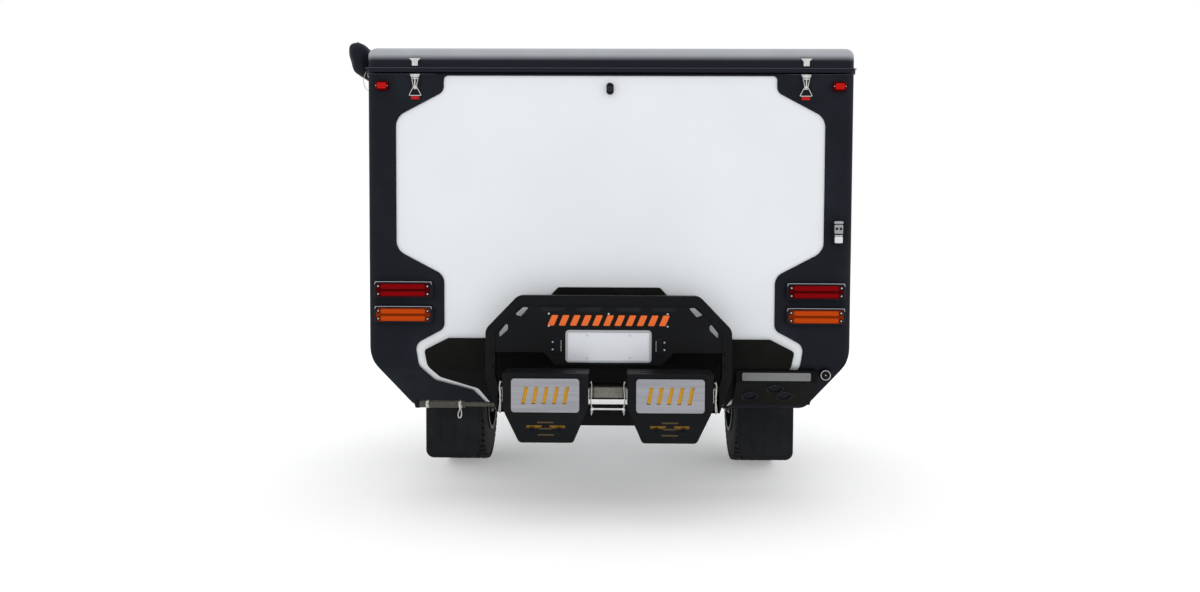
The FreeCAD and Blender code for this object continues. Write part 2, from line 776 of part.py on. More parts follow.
def rail(x):
    """Box-section chassis rail at x, with its open ends."""
    half = RAIL_WIDTH / 2
    outer = box(x - half, x + half, CHASSIS_REAR, CHASSIS_FRONT, RAIL_LOW_Z, FLOOR_Z)
    inner = box(x - half + RAIL_WALL, x + half - RAIL_WALL, CHASSIS_REAR - 1, CHASSIS_FRONT + 1,
                RAIL_LOW_Z + RAIL_WALL, FLOOR_Z - RAIL_WALL)
    return outer.cut(inner)


def chassis_frame():
    """Two long rails with cross members, outriggers to the body's sills and the welded seats."""
    inner = RAIL_X - RAIL_WIDTH / 2
    half = CROSS_WIDTH / 2
    members = [rail(-RAIL_X), rail(RAIL_X)]
    for y in CROSS_PLACES:
        members.append(box(-inner, inner, y - half, y + half, FLOOR_Z - CROSS_HEIGHT, FLOOR_Z))
        outrigger = box(RAIL_SIDE, TUNNEL_HALF, y - half + 5, y + half - 5, FLOOR_Z - CROSS_HEIGHT + 10,
                        FLOOR_Z)
        members.extend([outrigger, mirrored(outrigger)])
    for welded in (arm_brackets(), spring_seats(), flap_arms()):
        members.extend(welded.Solids)
    return joined(members)


def arm_brackets():
    """Hangers under the rails that hold the trailing arms' pivots, on both sides."""
    inner = RAIL_X - RAIL_WIDTH / 2
    plate = box(inner, ARM_X0 - 4, ARM_PIVOT_Y - 45, ARM_PIVOT_Y + 45, ARM_PIVOT_Z - 45, RAIL_LOW_Z)
    pin = rod(10, V(inner, ARM_PIVOT_Y, ARM_PIVOT_Z), V(ARM_X0, ARM_PIVOT_Y, ARM_PIVOT_Z))
    return pair(joined([plate, pin]))


def spring_seats():
    """Angle brackets on the rails that carry the springs' and dampers' upper ends."""
    wall_x = ARCH_INNER + SEAT
    y0 = SPRING_Y - SEAT_BEHIND
    y1 = SPRING_Y + SEAT_AHEAD
    wall = box(wall_x, wall_x + SEAT_PLATE, y0, y1, RAIL_LOW_Z, SPRING_TOP + SEAT_PLATE)
    packer = box(RAIL_SIDE, wall_x, y0, y1, RAIL_LOW_Z, FLOOR_Z)
    shelf = box(wall_x, ARM_X1, y0, y1, SPRING_TOP, SPRING_TOP + SEAT_PLATE)
    return pair(joined([wall, packer, shelf]))


def flap_arms():
    """Bars from the rails out under the sills, which the mud flaps are clamped to."""
    drop = box(RAIL_SIDE, RAIL_SIDE + 10, FLAP_Y, FLAP_Y + 45, SKIRT_Z - 45, FLOOR_Z - 20)
    upright = box(RAIL_SIDE, FLAP_OUTER, FLAP_Y, FLAP_Y + 5, SKIRT_Z - 45, SKIRT_Z)
    shelf = box(RAIL_SIDE, FLAP_OUTER, FLAP_Y, FLAP_Y + 45, SKIRT_Z - 6, SKIRT_Z)
    return pair(joined([drop, upright, shelf]))


def drawbar_rail():
    """Left rail of the drawbar's A, from the chassis to the coupling."""
    half = RAIL_WIDTH / 2
    corners = [(-RAIL_X - half, CHASSIS_FRONT), (-RAIL_X + half, CHASSIS_FRONT),
               (-DRAWBAR_TIP_X + half, DRAWBAR_TIP), (-DRAWBAR_TIP_X - half, DRAWBAR_TIP)]
    return prism_z(corners, RAIL_LOW_Z, FLOOR_Z)


def drawbar():
    """A-shaped drawbar with its nose beam, gusset plates and the jockey's pivot."""
    left = drawbar_rail()
    beam = box(-BEAM_HALF, BEAM_HALF, DRAWBAR_TIP - 260, COUPLING_Y - 130, RAIL_LOW_Z, FLOOR_Z)
    end = DRAWBAR_TIP + 30
    gusset = both_sides([(BEAM_HALF - 8, end), (DRAWBAR_TIP_X + GUSSET_SPREAD, end - GUSSET_LENGTH)])
    upper = prism_z(gusset, FLOOR_Z, FLOOR_Z + GUSSET_THICK)
    lower = prism_z(gusset, RAIL_LOW_Z - GUSSET_THICK, RAIL_LOW_Z)
    cross_half = RAIL_X - 140
    cross = box(-cross_half, cross_half, BOX_CROSS_Y, BOX_CROSS_Y + CROSS_WIDTH, RAIL_LOW_Z + 20, FLOOR_Z)
    face = jockey_rail_face()
    pad = rod(46, face - RAIL_OUT * 2, face + RAIL_OUT * 10)
    pivot = rod(28, face, face + RAIL_OUT * (JOCKEY_STAND_OFF - 50))
    return joined([left, mirrored(left), beam, upper, lower, cross, pad, pivot])


def coupling():
    """Pin coupling: a bored block on a neck, bolted to the nose beam by a plate."""
    middle = (RAIL_LOW_Z + FLOOR_Z) / 2
    plate = box(-BEAM_HALF, BEAM_HALF, COUPLING_Y - 130, COUPLING_Y - 112, RAIL_LOW_Z, FLOOR_Z)
    neck = rod(NECK_R, V(0, COUPLING_Y - 112, middle), V(0, COUPLING_Y - 40, middle))
    half = COUPLING_HALF
    block = prism_z([(-half, COUPLING_Y - 46, 12), (half, COUPLING_Y - 46, 12), (half, COUPLING_Y + 46, 24),
                     (-half, COUPLING_Y + 46, 24)], RAIL_LOW_Z + 10, FLOOR_Z - 10)
    bore = rod(PIN_BORE_R, V(0, COUPLING_Y, RAIL_LOW_Z - 10), V(0, COUPLING_Y, FLOOR_Z + 10))
    return joined([plate, neck, block]).cut(bore)


def tyre(side):
    """Road tyre: flat tread, sloping shoulders and upright walls down to the rim's flanges."""
    half = TYRE_WIDTH / 2
    right = [(half - TYRE_SHOULDER, TYRE_R), (half, TYRE_R - TYRE_SHOULDER), (half, RIM_R)]
    return turned(both_sides(right), V(side * TRACK_HALF, 0, AXLE_Z), V(1, 0, 0))


def wheel_rim(side):
    """Pressed wheel in one section: flanged barrel, dished disc, brake drum and hub, with round windows."""
    half = TYRE_WIDTH / 2
    centre = V(side * TRACK_HALF, 0, AXLE_Z)
    out = V(side, 0, 0)
    lip = RIM_R + RIM_LIP
    barrel = RIM_R - RIM_BARREL
    bore = SPINDLE_R + HUB_CLEARANCE
    drum = -(TRACK_HALF - ARM_X1 - 32)
    back = DISC_FACE - DISC_THICK
    flange = half + RIM_FLANGE
    section = [(flange, barrel), (flange, lip), (half, lip), (half, RIM_R), (-half, RIM_R), (-half, lip),
               (-flange, lip), (-flange, barrel), (back, barrel), (back, DRUM_R), (drum, DRUM_R),
               (drum, bore), (10, bore), (10, 0), (HUB_CAP, 0), (HUB_CAP, HUB_CAP_R), (HUB_FACE, HUB_CAP_R),
               (HUB_FACE, HUB_FACE_R), (DISC_FACE, DISC_EYE_R), (DISC_FACE, barrel)]
    wheel = turned(section, centre, out)
    for i in range(RIM_WINDOWS):
        angle = 2 * math.pi * (i + 0.5) / RIM_WINDOWS
        place = centre + V(0, math.cos(angle), math.sin(angle)) * RIM_WINDOW_RING
        wheel = wheel.cut(rod(RIM_WINDOW_R, place + out * (back - 5), place + out * (DISC_FACE + 5)))
    return wheel


def trailing_arm():
    """Right trailing arm from its pivot tube to the boss that carries the stub axle."""
    pivot = rod(ARM_PIVOT_R, V(ARM_X0, ARM_PIVOT_Y, ARM_PIVOT_Z), V(ARM_X1, ARM_PIVOT_Y, ARM_PIVOT_Z))
    profile = [(ARM_PIVOT_Y, ARM_PIVOT_Z + 30), (ARM_PIVOT_Y, ARM_PIVOT_Z - 30), (60, AXLE_Z - 67, 30),
               (-60, AXLE_Z - 55, 30), (-60, AXLE_Z + 35, 30), (60, ARM_TOP, 30)]
    arm = prism_x(profile, ARM_X0 + 10, ARM_X1 - 30)
    boss = rod(HUB_R, V(ARM_X1 - 40, 0, AXLE_Z), V(ARM_X1 + 16, 0, AXLE_Z))
    backing = rod(DRUM_R - 10, V(ARM_X1 + 16, 0, AXLE_Z), V(ARM_X1 + 24, 0, AXLE_Z))
    spindle = rod(SPINDLE_R, V(ARM_X1, 0, AXLE_Z), V(TRACK_HALF + 4, 0, AXLE_Z))
    return joined([pivot, arm, boss, backing, spindle])


def air_springs():
    """Two-lobed air springs between the arms and their seats."""
    tall = SPRING_TOP - ARM_TOP
    waist = SPRING_WAIST_R
    profile = [(0, 0), (0, waist), (22, SPRING_R), (tall / 2 - 20, SPRING_R), (tall / 2, waist),
               (tall / 2 + 20, SPRING_R), (tall - 22, SPRING_R), (tall, waist), (tall, 0)]
    return pair(turned(profile, V((ARM_X0 + ARM_X1) / 2 + 2, SPRING_Y, ARM_TOP), V(0, 0, 1)))


def dampers():
    """Short telescopic dampers beside the springs."""
    x = ARM_X0 + 45
    low = V(x, SPRING_Y + 150, ARM_TOP)
    middle = V(x, SPRING_Y + 165, ARM_TOP + 90)
    top = V(x, SPRING_Y + 178, SPRING_TOP)
    body = rod(DAMPER_R, V(x, SPRING_Y + 165, ARM_TOP + 70), top)
    damper = joined([body, rod(DAMPER_ROD_R, low, middle)])
    return pair(damper.common(box(0, BODY_HALF, 0, SPRING_Y + SEAT_AHEAD, ARM_TOP, SPRING_TOP)))


def mud_flaps():
    """Hanging flaps behind the wheels, each on an angle bar under the sill."""
    top = SKIRT_Z - SEAT
    corners = [(FLAP_OUTER, top), (FLAP_OUTER, FLAP_BOTTOM, 40), (FLAP_INNER, FLAP_BOTTOM, 90),
               (FLAP_INNER, top)]
    return pair(prism_y(corners, FLAP_Y - FLAP_THICK, FLAP_Y))


def arch_guards():
    """Moulded lips round the wheel openings, standing proud of the flanks."""
    start = BODY_HALF - FLANK_TURN_IN - 60
    ring = rod(ARCH_R + ARCH_LIP, V(start, 0, AXLE_Z), V(BODY_HALF + ARCH_PROUD, 0, AXLE_Z))
    ring = ring.cut(wheel_space(ARCH_R, ARCH_INNER)).cut(body_form(0))
    reach = ARCH_R + ARCH_LIP + 14
    keep = box(start, BODY_HALF + 60, -reach, reach, SKIRT_Z + 60, AXLE_Z + reach + 100)
    return pair(largest(ring.common(keep).common(body_form(ARCH_PROUD)).cut(corner_cover())))


def hoop_opening():
    """Right-half corners of the space inside the hoop, from its top bar down to its knees."""
    return [(HOOP_TOP_HALF - HOOP_LEG * 0.6, HOOP_TOP - HOOP_LEG, 20),
            (HOOP_HALF - HOOP_LEG, HOOP_SHOULDER_Z - 14, 20)]


def hoop_outline():
    """Whole outer outline of the hoop, open between its feet."""
    return both_sides([(HOOP_TOP_HALF, HOOP_TOP, HOOP_BEND_R), (HOOP_HALF, HOOP_SHOULDER_Z, HOOP_BEND_R),
                       (HOOP_HALF, HOOP_KNEE_Z, HOOP_BEND_R), (HOOP_FOOT_X, HOOP_FOOT_Z)])


def rear_hoop():
    """Plate hoop: chamfered shoulders with cut-outs, long legs and feet on the rails' ends."""
    inner = both_sides(hoop_opening() + [(HOOP_HALF - HOOP_LEG, HOOP_KNEE_Z + 12, 20),
                                         (HOOP_FOOT_X - HOOP_LEG, HOOP_FOOT_Z - 1)])
    hoop = prism_y(hoop_outline(), HOOP_Y, HOOP_Y + HOOP_DEPTH)
    hoop = hoop.cut(prism_y(inner, HOOP_Y - 1, HOOP_Y + HOOP_DEPTH + 1))
    fall = HOOP_TOP - HOOP_SHOULDER_Z
    for share, inside, wide, tall in ((0.25, 36, 52, 34), (0.75, 18, 32, 52)):
        x = HOOP_TOP_HALF + HOOP_CHAMFER * share - inside / 2
        z = HOOP_TOP - fall * share - inside / 2
        slot = prism_y([(x - wide / 2, z + tall / 2, 8), (x + wide / 2 - 14, z + tall / 2, 8),
                        (x + wide / 2, z - tall / 2, 8), (x - wide / 2 + 6, z - tall / 2, 8)],
                       HOOP_Y - 1, HOOP_Y + HOOP_DEPTH + 1)
        hoop = hoop.cut(slot).cut(mirrored(slot))
    foot = box(RAIL_X - RAIL_WIDTH / 2, RAIL_SIDE, HOOP_Y, CHASSIS_REAR, RAIL_LOW_Z, FLOOR_Z)
    return joined([hoop, foot, mirrored(foot)])


def sign_panel():
    """Dark panel across the hoop, with four tapered slots and a chamfered tab below."""
    corners = both_sides(hoop_opening() + [(HOOP_HALF - HOOP_LEG, SIGN_BOTTOM, 10), (290, SIGN_BOTTOM, 14),
                                           (238, SIGN_TAB, 14)])
    panel = prism_y(corners, HOOP_Y + PLATE, HOOP_Y + PLATE * 2)
    for x in SIGN_SLOTS:
        left = x - SIGN_SLOT_HALF
        right = x + SIGN_SLOT_HALF
        shift = math.copysign(SIGN_SLOT_LEAN, x)
        slot = [(left + min(shift, 0), SIGN_SLOT_Z), (right + max(shift, 0), SIGN_SLOT_Z),
                (right + min(shift, 0), SIGN_SLOT_Z + SIGN_SLOT_HEIGHT),
                (left + max(shift, 0), SIGN_SLOT_Z + SIGN_SLOT_HEIGHT)]
        panel = panel.cut(prism_y(slot, HOOP_Y, HOOP_Y + HOOP_DEPTH))
    return panel


def carrier_tube():
    """Galvanised cross tube between the hoop's legs, which carries both holders."""
    tube = box(-HOOP_HALF, HOOP_HALF, HOOP_Y + 2, HOOP_Y + HOOP_DEPTH - 5, CARRIER_Z0, CARRIER_Z1)
    reach = prism_y(hoop_outline(), HOOP_Y, HOOP_Y + HOOP_DEPTH)
    return largest(tube.common(reach).cut(rear_hoop()))


def holder_form(x, inset, top):
    """A holder's outside drawn in by inset: tapered in rear view, sloping forward at its foot."""
    low = HOLDER_LOW + inset
    rear = both_sides([(HOLDER_HALF - inset, top, 6), (HOLDER_HALF - inset, HOLDER_TURN_Z, 40),
                       (HOLDER_FOOT_HALF - inset, low, 20)])
    face = CAN_FACE_Y + inset
    back = CAN_BACK_Y - inset
    side = [(face, top), (face, HOLDER_BREAK_Z + inset / 2), (face + HOLDER_SLOPE, low), (back, low),
            (back, top)]
    rear = [(corner[0] + x,) + tuple(corner[1:]) for corner in rear]
    return prism_y(rear, CAN_FACE_Y, CAN_BACK_Y).common(prism_x(side, x - HOLDER_HALF, x + HOLDER_HALF))


def can_holder(x):
    """Sheet holder for one can: floor, walls and slotted sloping face, open above."""
    holder = holder_form(x, 0, HOLDER_TOP).cut(holder_form(x, PLATE, HOLDER_TOP + 20))
    slot_z = (HOLDER_LOW + HOLDER_BREAK_Z) / 2
    for dx in (-50, 50):
        holder = holder.cut(box(x + dx - 34, x + dx + 34, CAN_FACE_Y - 5, CAN_FACE_Y + HOLDER_SLOPE,
                                slot_z, slot_z + 16))
    hanger = box(x - 60, x + 60, CAN_BACK_Y, HOOP_Y + 2, CARRIER_Z0, CARRIER_Z1)
    return joined([holder, hanger])


def can(x):
    """Fuel can standing in its holder, with a cap."""
    body = holder_form(x, PLATE + SEAT, CAN_TOP)
    middle = (CAN_FACE_Y + CAN_BACK_Y) / 2
    return joined([body, rod(CAN_CAP_R, V(x + 90, middle, CAN_TOP), V(x + 90, middle, CAN_TOP + 22))])


def face_plate(x):
    """Bright plate on a holder's face, with a generic row of slanted slots."""
    high = FACE_LOW + FACE_HEIGHT
    corners = [(x - FACE_HALF, high, 14), (x + FACE_HALF, high, 14), (x + FACE_HALF, FACE_LOW, 14),
               (x - FACE_HALF, FACE_LOW, 14)]
    plate = prism_y(corners, CAN_FACE_Y - PLATE, CAN_FACE_Y)
    pitch = FACE_HALF * 1.5 / FACE_SLOTS
    low = FACE_LOW + FACE_HEIGHT / 4
    for i in range(FACE_SLOTS):
        left = x - FACE_HALF * 0.7 + i * pitch
        slot = [(left, low), (left + 16, low), (left + 30, high - 35), (left + 14, high - 35)]
        plate = plate.cut(prism_y(slot, CAN_FACE_Y - 10, CAN_FACE_Y + 10))
    return plate


def corner_tube():
    """Round tube slung under the left rear corner on a bar from the rail."""
    y = CHASSIS_REAR + 40
    inner = TUBE_OUTER - TUBE_LENGTH
    tube = rod(TUBE_R, V(-TUBE_OUTER, y, TUBE_Z), V(-inner, y, TUBE_Z))
    strap = box(-inner - 10, -RAIL_SIDE, y - 15, y + 15, TUBE_Z - TUBE_R / 2, TUBE_Z + TUBE_R / 2)
    return joined([tube, strap])


def guard_section(inset):
    """Rear-view corners of the guard's trough, drawn in by inset."""
    turn = RAIL_LOW_Z - GUARD_DROP * 0.4
    low = RAIL_LOW_Z - GUARD_DROP + inset
    half = GUARD_HALF - inset
    return both_sides([(half, RAIL_LOW_Z), (half, turn + inset / 2), (GUARD_FLAT, low, 30)])


def tank_guard():
    """Folded guard plate under the floor between the rails."""
    front = GUARD_REAR + GUARD_LENGTH
    trough = prism_y(guard_section(0), GUARD_REAR, front)
    trough = trough.cut(prism_y(guard_section(GUARD_PLATE), GUARD_REAR + GUARD_PLATE, front + 1))
    rim = box(GUARD_HALF - GUARD_PLATE, RAIL_X - 5, GUARD_REAR, front, RAIL_LOW_Z - GUARD_PLATE, RAIL_LOW_Z)
    return joined([trough, rim, mirrored(rim)])


RAIL_RUN = V(RAIL_X - DRAWBAR_TIP_X, DRAWBAR_TIP - CHASSIS_FRONT, 0).normalize()
RAIL_OUT = V(-RAIL_RUN.y, RAIL_RUN.x, 0)


def jockey_rail_face():
    """Point on the left drawbar rail's outer face, level with the jockey's pivot."""
    share = (JOCKEY_Y - CHASSIS_FRONT) / (DRAWBAR_TIP - CHASSIS_FRONT)
    x = -RAIL_X + share * (RAIL_X - DRAWBAR_TIP_X)
    middle = V(x, JOCKEY_Y, JOCKEY_PIVOT_Z)
    return middle + RAIL_OUT * (RAIL_WIDTH / 2 * RAIL_RUN.y)


JOCKEY_AXIS = jockey_rail_face() + RAIL_OUT * JOCKEY_STAND_OFF


def jockey_point(along, out, z):
    """Point beside the jockey's leg: along the rail, out from it, at height z."""
    return V(JOCKEY_AXIS.x, JOCKEY_AXIS.y, z) + RAIL_RUN * along + RAIL_OUT * out


def leg_rod(radius, low, high):
    """Round bar on the leg's own axis between two heights."""
    return rod(radius, jockey_point(0, 0, low), jockey_point(0, 0, high))


def jockey_tube():
    """Clamp and outer tube with the winding handle, which swings up as one."""
    centre = jockey_point(0, 0, JOCKEY_PIVOT_Z)
    clamp = rod(40, centre - RAIL_OUT * 49.5, centre - RAIL_OUT * 42)
    arm = rod(26, centre - RAIL_OUT * 45, centre)
    collar = leg_rod(JOCKEY_OUTER_R + 6, JOCKEY_PIVOT_Z - 45, JOCKEY_PIVOT_Z + 45)
    outer = leg_rod(JOCKEY_OUTER_R, JOCKEY_TUBE_LOW, JOCKEY_TUBE_TOP)
    cap = leg_rod(JOCKEY_OUTER_R + 3, JOCKEY_TUBE_TOP, JOCKEY_TUBE_TOP + 12)
    stem = leg_rod(9, JOCKEY_TUBE_TOP + 12, JOCKEY_TUBE_TOP + 36)
    level = JOCKEY_TUBE_TOP + 26
    crank = rod(5, jockey_point(0, 0, level), jockey_point(-JOCKEY_CRANK, 0, level))
    knob = rod(12, jockey_point(-JOCKEY_CRANK, 0, level - 8), jockey_point(-JOCKEY_CRANK, 0, level + 52))
    tube = joined([clamp, arm, collar, outer, cap, stem, crank, knob])
    return tube.cut(leg_rod(JOCKEY_INNER_R + 0.5, JOCKEY_TUBE_LOW - 10, JOCKEY_TUBE_TOP - 10))


def jockey_leg():
    """Inner tube, which winds up into the outer one."""
    return leg_rod(JOCKEY_INNER_R, JOCKEY_LEG_LOW, JOCKEY_LEG_TOP)


def beside_leg(shape):
    """Shape drawn about the leg's axis, with +X along the rail, put in its place."""
    turn = math.degrees(math.atan2(RAIL_RUN.y, RAIL_RUN.x))
    placed = shape.copy()
    placed.rotate(V(0, 0, 0), V(0, 0, 1), turn)
    placed.translate(V(JOCKEY_AXIS.x, JOCKEY_AXIS.y, 0))
    return placed


def jockey_fork():
    """Swivelling fork: a collar under the leg and two cheeks out to the axle."""
    inner = JOCKEY_WHEEL_WIDTH / 2 + FORK_CLEARANCE
    outer = inner + FORK_PLATE
    top = JOCKEY_LEG_LOW - 8
    crown = leg_rod(JOCKEY_OUTER_R, top - 6, JOCKEY_LEG_LOW - 0.5)
    bridge = box(-30, 30, -outer, outer, top - 6, top)
    low = JOCKEY_WHEEL_R - 16
    cheek = [(-26, top), (26, top), (-JOCKEY_TRAIL + 16, low, 12), (-JOCKEY_TRAIL - 16, low, 12)]
    cheek = prism_y(cheek, inner, outer)
    axle = rod(FORK_AXLE_R, V(-JOCKEY_TRAIL, -outer, JOCKEY_WHEEL_R), V(-JOCKEY_TRAIL, outer, JOCKEY_WHEEL_R))
    other = cheek.mirror(V(0, 0, 0), V(0, 1, 0))
    return joined([crown, beside_leg(joined([bridge, axle, cheek, other]))])


def jockey_wheel():
    """Solid rubber wheel with a recessed web, on a bored hub."""
    half = JOCKEY_WHEEL_WIDTH / 2
    radius = JOCKEY_WHEEL_R
    near = [(-half - 4, FORK_AXLE_R + 0.4), (-half - 4, 24), (-half + 8, 24), (-half + 8, 60), (-half, 60),
            (-half, radius)]
    far = [(-along, r) for along, r in reversed(near)]
    return beside_leg(turned(near + far, V(-JOCKEY_TRAIL, 0, radius), V(0, 1, 0)))


def box_section(inset, top):
    """Side-view corners of the storage box drawn in by inset, open at the given top."""
    front = BOX_FRONT - inset
    return [(BOX_REAR + inset, FLOOR_Z + inset), (front, FLOOR_Z + inset), (front, BOX_TOP - BOX_KNEE, 20),
            (front - BOX_SLOPE, top), (BOX_REAR + inset, top)]


def front_box():
    """Folded storage box on the drawbar, open above, with a sloped front."""
    shell = prism_x(box_section(0, BOX_TOP), -BOX_HALF, BOX_HALF)
    return shell.cut(prism_x(box_section(BOX_WALL, BOX_TOP + 9), -BOX_HALF + BOX_WALL, BOX_HALF - BOX_WALL))


def front_box_lid():
    """Turned-down lid of the storage box with its hinge barrel along the rear."""
    top = BOX_TOP + SEAT + 4
    half = BOX_HALF + BOX_LID_EDGE
    front = BOX_FRONT - BOX_SLOPE / 2 + 2
    lid = box(-half, half, BOX_REAR + 4, front, top - BOX_LID_DEPTH, top)
    half = half - BOX_WALL
    lid = lid.cut(box(-half, half, BOX_REAR - 1, front - BOX_WALL, top - BOX_LID_DEPTH - 1, top - 4))
    barrel = rod(5, V(-BOX_HALF + 40, BOX_REAR, top + 1), V(BOX_HALF - 40, BOX_REAR, top + 1))
    leaf = box(-BOX_HALF + 40, BOX_HALF - 40, BOX_REAR, BOX_REAR + 30, top, top + 3)
    return joined([lid, barrel, leaf])


def bed_base():
    """Plywood bed base on the cabin floor, between the wheel tubs."""
    low = FLOOR_Z + FLOOR_THICK + SEAT
    half = ARCH_INNER - TUB_WALL - 10
    base = box(-half, half, BED_REAR, BED_FRONT, low, BED_TOP)
    return base.cut(box(-half + BED_PLY, half - BED_PLY, BED_REAR + BED_PLY, BED_FRONT - BED_PLY, low - 1,
                        BED_TOP - BED_PLY))


def mattress():
    """Foam mattress on the bed base, over the wheel tubs."""
    low = BED_TOP + SEAT
    return box(-MATTRESS_HALF, MATTRESS_HALF, BED_REAR - 20, BED_FRONT, low, low + MATTRESS_THICK)


def door_fittings():
    """Hinge straps and a pull handle on the right door."""
    axis_x = BODY_HALF + HINGE_OUT
    half = STRAP_HEIGHT / 2
    pieces = []
    for z in HINGE_PLACES:
        barrel = rod(DOOR_KNUCKLE_R, V(axis_x, DOOR_FRONT, z - half - 2), V(axis_x, DOOR_FRONT, z + half + 2))
        strap = box(BODY_HALF, BODY_HALF + STRAP_THICK, DOOR_FRONT - STRAP_LENGTH, DOOR_FRONT, z - half,
                    z + half)
        pieces.append(joined([barrel, strap]))
    y = DOOR_REAR + HANDLE_INSET
    plate = box(BODY_HALF, BODY_HALF + 5, y - 34, y + 34, HANDLE_Z - 55, HANDLE_Z + 55)
    grip = box(BODY_HALF + 5, BODY_HALF + 24, y - 12, y + 12, HANDLE_Z - 39, HANDLE_Z + 39)
    grip = grip.makeChamfer(4, edges_where(grip, lambda p: p.x > BODY_HALF + 20))
    pieces.append(joined([plate, grip]))
    return apart(pieces)


def door_hinges():
    """Fixed hinge halves on the body in front of each door, above and below each strap."""
    axis_x = BODY_HALF + HINGE_OUT
    near = STRAP_HEIGHT / 2 + 3
    far = near + STRAP_HEIGHT - 5
    pieces = []
    for z in HINGE_PLACES:
        for low, high in ((z - far, z - near), (z + near, z + far)):
            barrel = rod(DOOR_KNUCKLE_R, V(axis_x, DOOR_FRONT, low), V(axis_x, DOOR_FRONT, high))
            leaf = box(BODY_HALF, BODY_HALF + STRAP_THICK, DOOR_FRONT + 2, DOOR_FRONT + 60, low, high)
            link = box(BODY_HALF + 2, BODY_HALF + 8, DOOR_FRONT - 2, DOOR_FRONT + 4, low, high)
            pieces.append(joined([barrel, leaf, link]))
    return pair(apart(pieces))


def fixed_fittings():
    """Hood hinges, door hinges and lid latches, all fixed to the body."""
    return apart(hood_hinges().Solids + door_hinges().Solids + lid_latches().Solids)


def lid_fittings():
    """Hinge halves, strikers and awning brackets, all fixed to the lid."""
    return apart(lid_hinges().Solids + lid_strikers().Solids + awning_brackets().Solids)


def lenses_red():
    """Red strip lenses and the two marker lamps."""
    return apart(pair(lamp_lens(LAMP_RED_Z)).Solids + marker_lamps().Solids)




def write_node(name, shape):
    """Write one named piece, after checking that it is sound."""
    if not shape.isValid():
        print("not valid:", name)
    print(name, len(shape.Solids), round(shape.Volume / 1e6, 2))
    shape.exportStep("parts/" + name + ".step")


def all_nodes():
    """Every piece of the trailer by name."""
    panel = door_panel()
    window = door_window()
    fittings = door_fittings()
    return {
        "body_shell": body_shell(),
        "rear_panel": rear_panel(),
        "lower_panel": lower_panel(),
        "corner_covers": pair(corner_cover()),
        "fixed_fittings": fixed_fittings(),
        "lid_fittings": lid_fittings(),
        "roof_lid": roof_lid(),
        "awning_bag": awning_bag(),
        "lamp_bezels": lamp_bezels(),
        "lenses_red": lenses_red(),
        "lenses_amber": pair(lamp_lens(LAMP_AMBER_Z)),
        "rear_camera": rear_camera(),
        "service_socket": service_socket(),
        "service_box": service_box(),
        "door_right": panel,
        "door_left": mirrored(panel),
        "window_right": window,
        "window_left": mirrored(window),
        "door_fittings_right": fittings,
        "door_fittings_left": mirrored(fittings),
        "arch_guards": arch_guards(),
        "mud_flaps": mud_flaps(),
        "chassis_frame": chassis_frame(),
        "drawbar": drawbar(),
        "coupling": coupling(),
        "trailing_arms": pair(trailing_arm()),
        "air_springs": air_springs(),
        "dampers": dampers(),
        "tyre_right": tyre(1),
        "tyre_left": tyre(-1),
        "rim_right": wheel_rim(1),
        "rim_left": wheel_rim(-1),
        "rear_hoop": rear_hoop(),
        "sign_panel": sign_panel(),
        "carrier_tube": carrier_tube(),
        "can_holders": apart([can_holder(-CAN_X), can_holder(CAN_X)]),
        "cans": apart([can(-CAN_X), can(CAN_X)]),
        "face_plates": apart([face_plate(-CAN_X), face_plate(CAN_X)]),
        "corner_tube": corner_tube(),
        "tank_guard": tank_guard(),
        "jockey_tube": jockey_tube(),
        "jockey_leg": jockey_leg(),
        "jockey_fork": jockey_fork(),
        "jockey_wheel": jockey_wheel(),
        "front_box": front_box(),
        "front_box_lid": front_box_lid(),
        "bed_base": bed_base(),
        "mattress": mattress(),
    }


def main():
    """Build and write every piece."""
    os.makedirs("parts", exist_ok=True)
    for name, shape in all_nodes().items():
        write_node(name, shape)


main()
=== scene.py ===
"""A teardrop camping trailer seen from behind: finishes, soft pieces, small hardware and a pale studio."""
import math
import bmesh
import bpy
import numpy as np
from mathutils import Euler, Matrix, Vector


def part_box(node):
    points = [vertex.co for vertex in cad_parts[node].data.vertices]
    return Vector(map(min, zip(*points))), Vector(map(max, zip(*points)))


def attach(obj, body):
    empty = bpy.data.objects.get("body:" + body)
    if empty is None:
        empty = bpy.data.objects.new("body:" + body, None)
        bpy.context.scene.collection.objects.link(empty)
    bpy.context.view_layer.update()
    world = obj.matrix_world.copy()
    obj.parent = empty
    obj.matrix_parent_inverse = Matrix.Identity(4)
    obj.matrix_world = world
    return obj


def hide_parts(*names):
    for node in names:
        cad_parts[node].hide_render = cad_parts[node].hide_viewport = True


bl_info = {
    "name": "Teardrop trailer dressing",
    "version": (1, 0, 0),
    "blender": (4, 5, 0),
    "location": "3D View > Sidebar > Trailer",
    "description": "Dresses the trailer's fixed frame with finishes, soft pieces and small hardware",
    "category": "Object",
}

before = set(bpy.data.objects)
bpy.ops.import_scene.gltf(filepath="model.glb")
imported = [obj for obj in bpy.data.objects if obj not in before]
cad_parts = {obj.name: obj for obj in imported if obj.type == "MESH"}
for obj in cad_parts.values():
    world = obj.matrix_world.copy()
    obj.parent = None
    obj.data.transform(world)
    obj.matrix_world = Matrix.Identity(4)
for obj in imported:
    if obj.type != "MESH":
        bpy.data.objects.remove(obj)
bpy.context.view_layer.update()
TURN = 2 * math.pi
POLE = 0.00003  # points nearer than this are merged
CENTRE = 1e-5  # radius of a ring that stands for a pole
SEAT = 0.0004  # how far a small piece sits into or off the face under it
BOTH = (1.0, -1.0)  # the right side and the left one
BACK, SIDE, UP = (0.0, -1.0, 0.0), (1.0, 0.0, 0.0), (0.0, 0.0, 1.0)
MIX_FIRST, MIX_SECOND, MIX_RESULT = 6, 7, 2  # a Mix node's sockets for colours


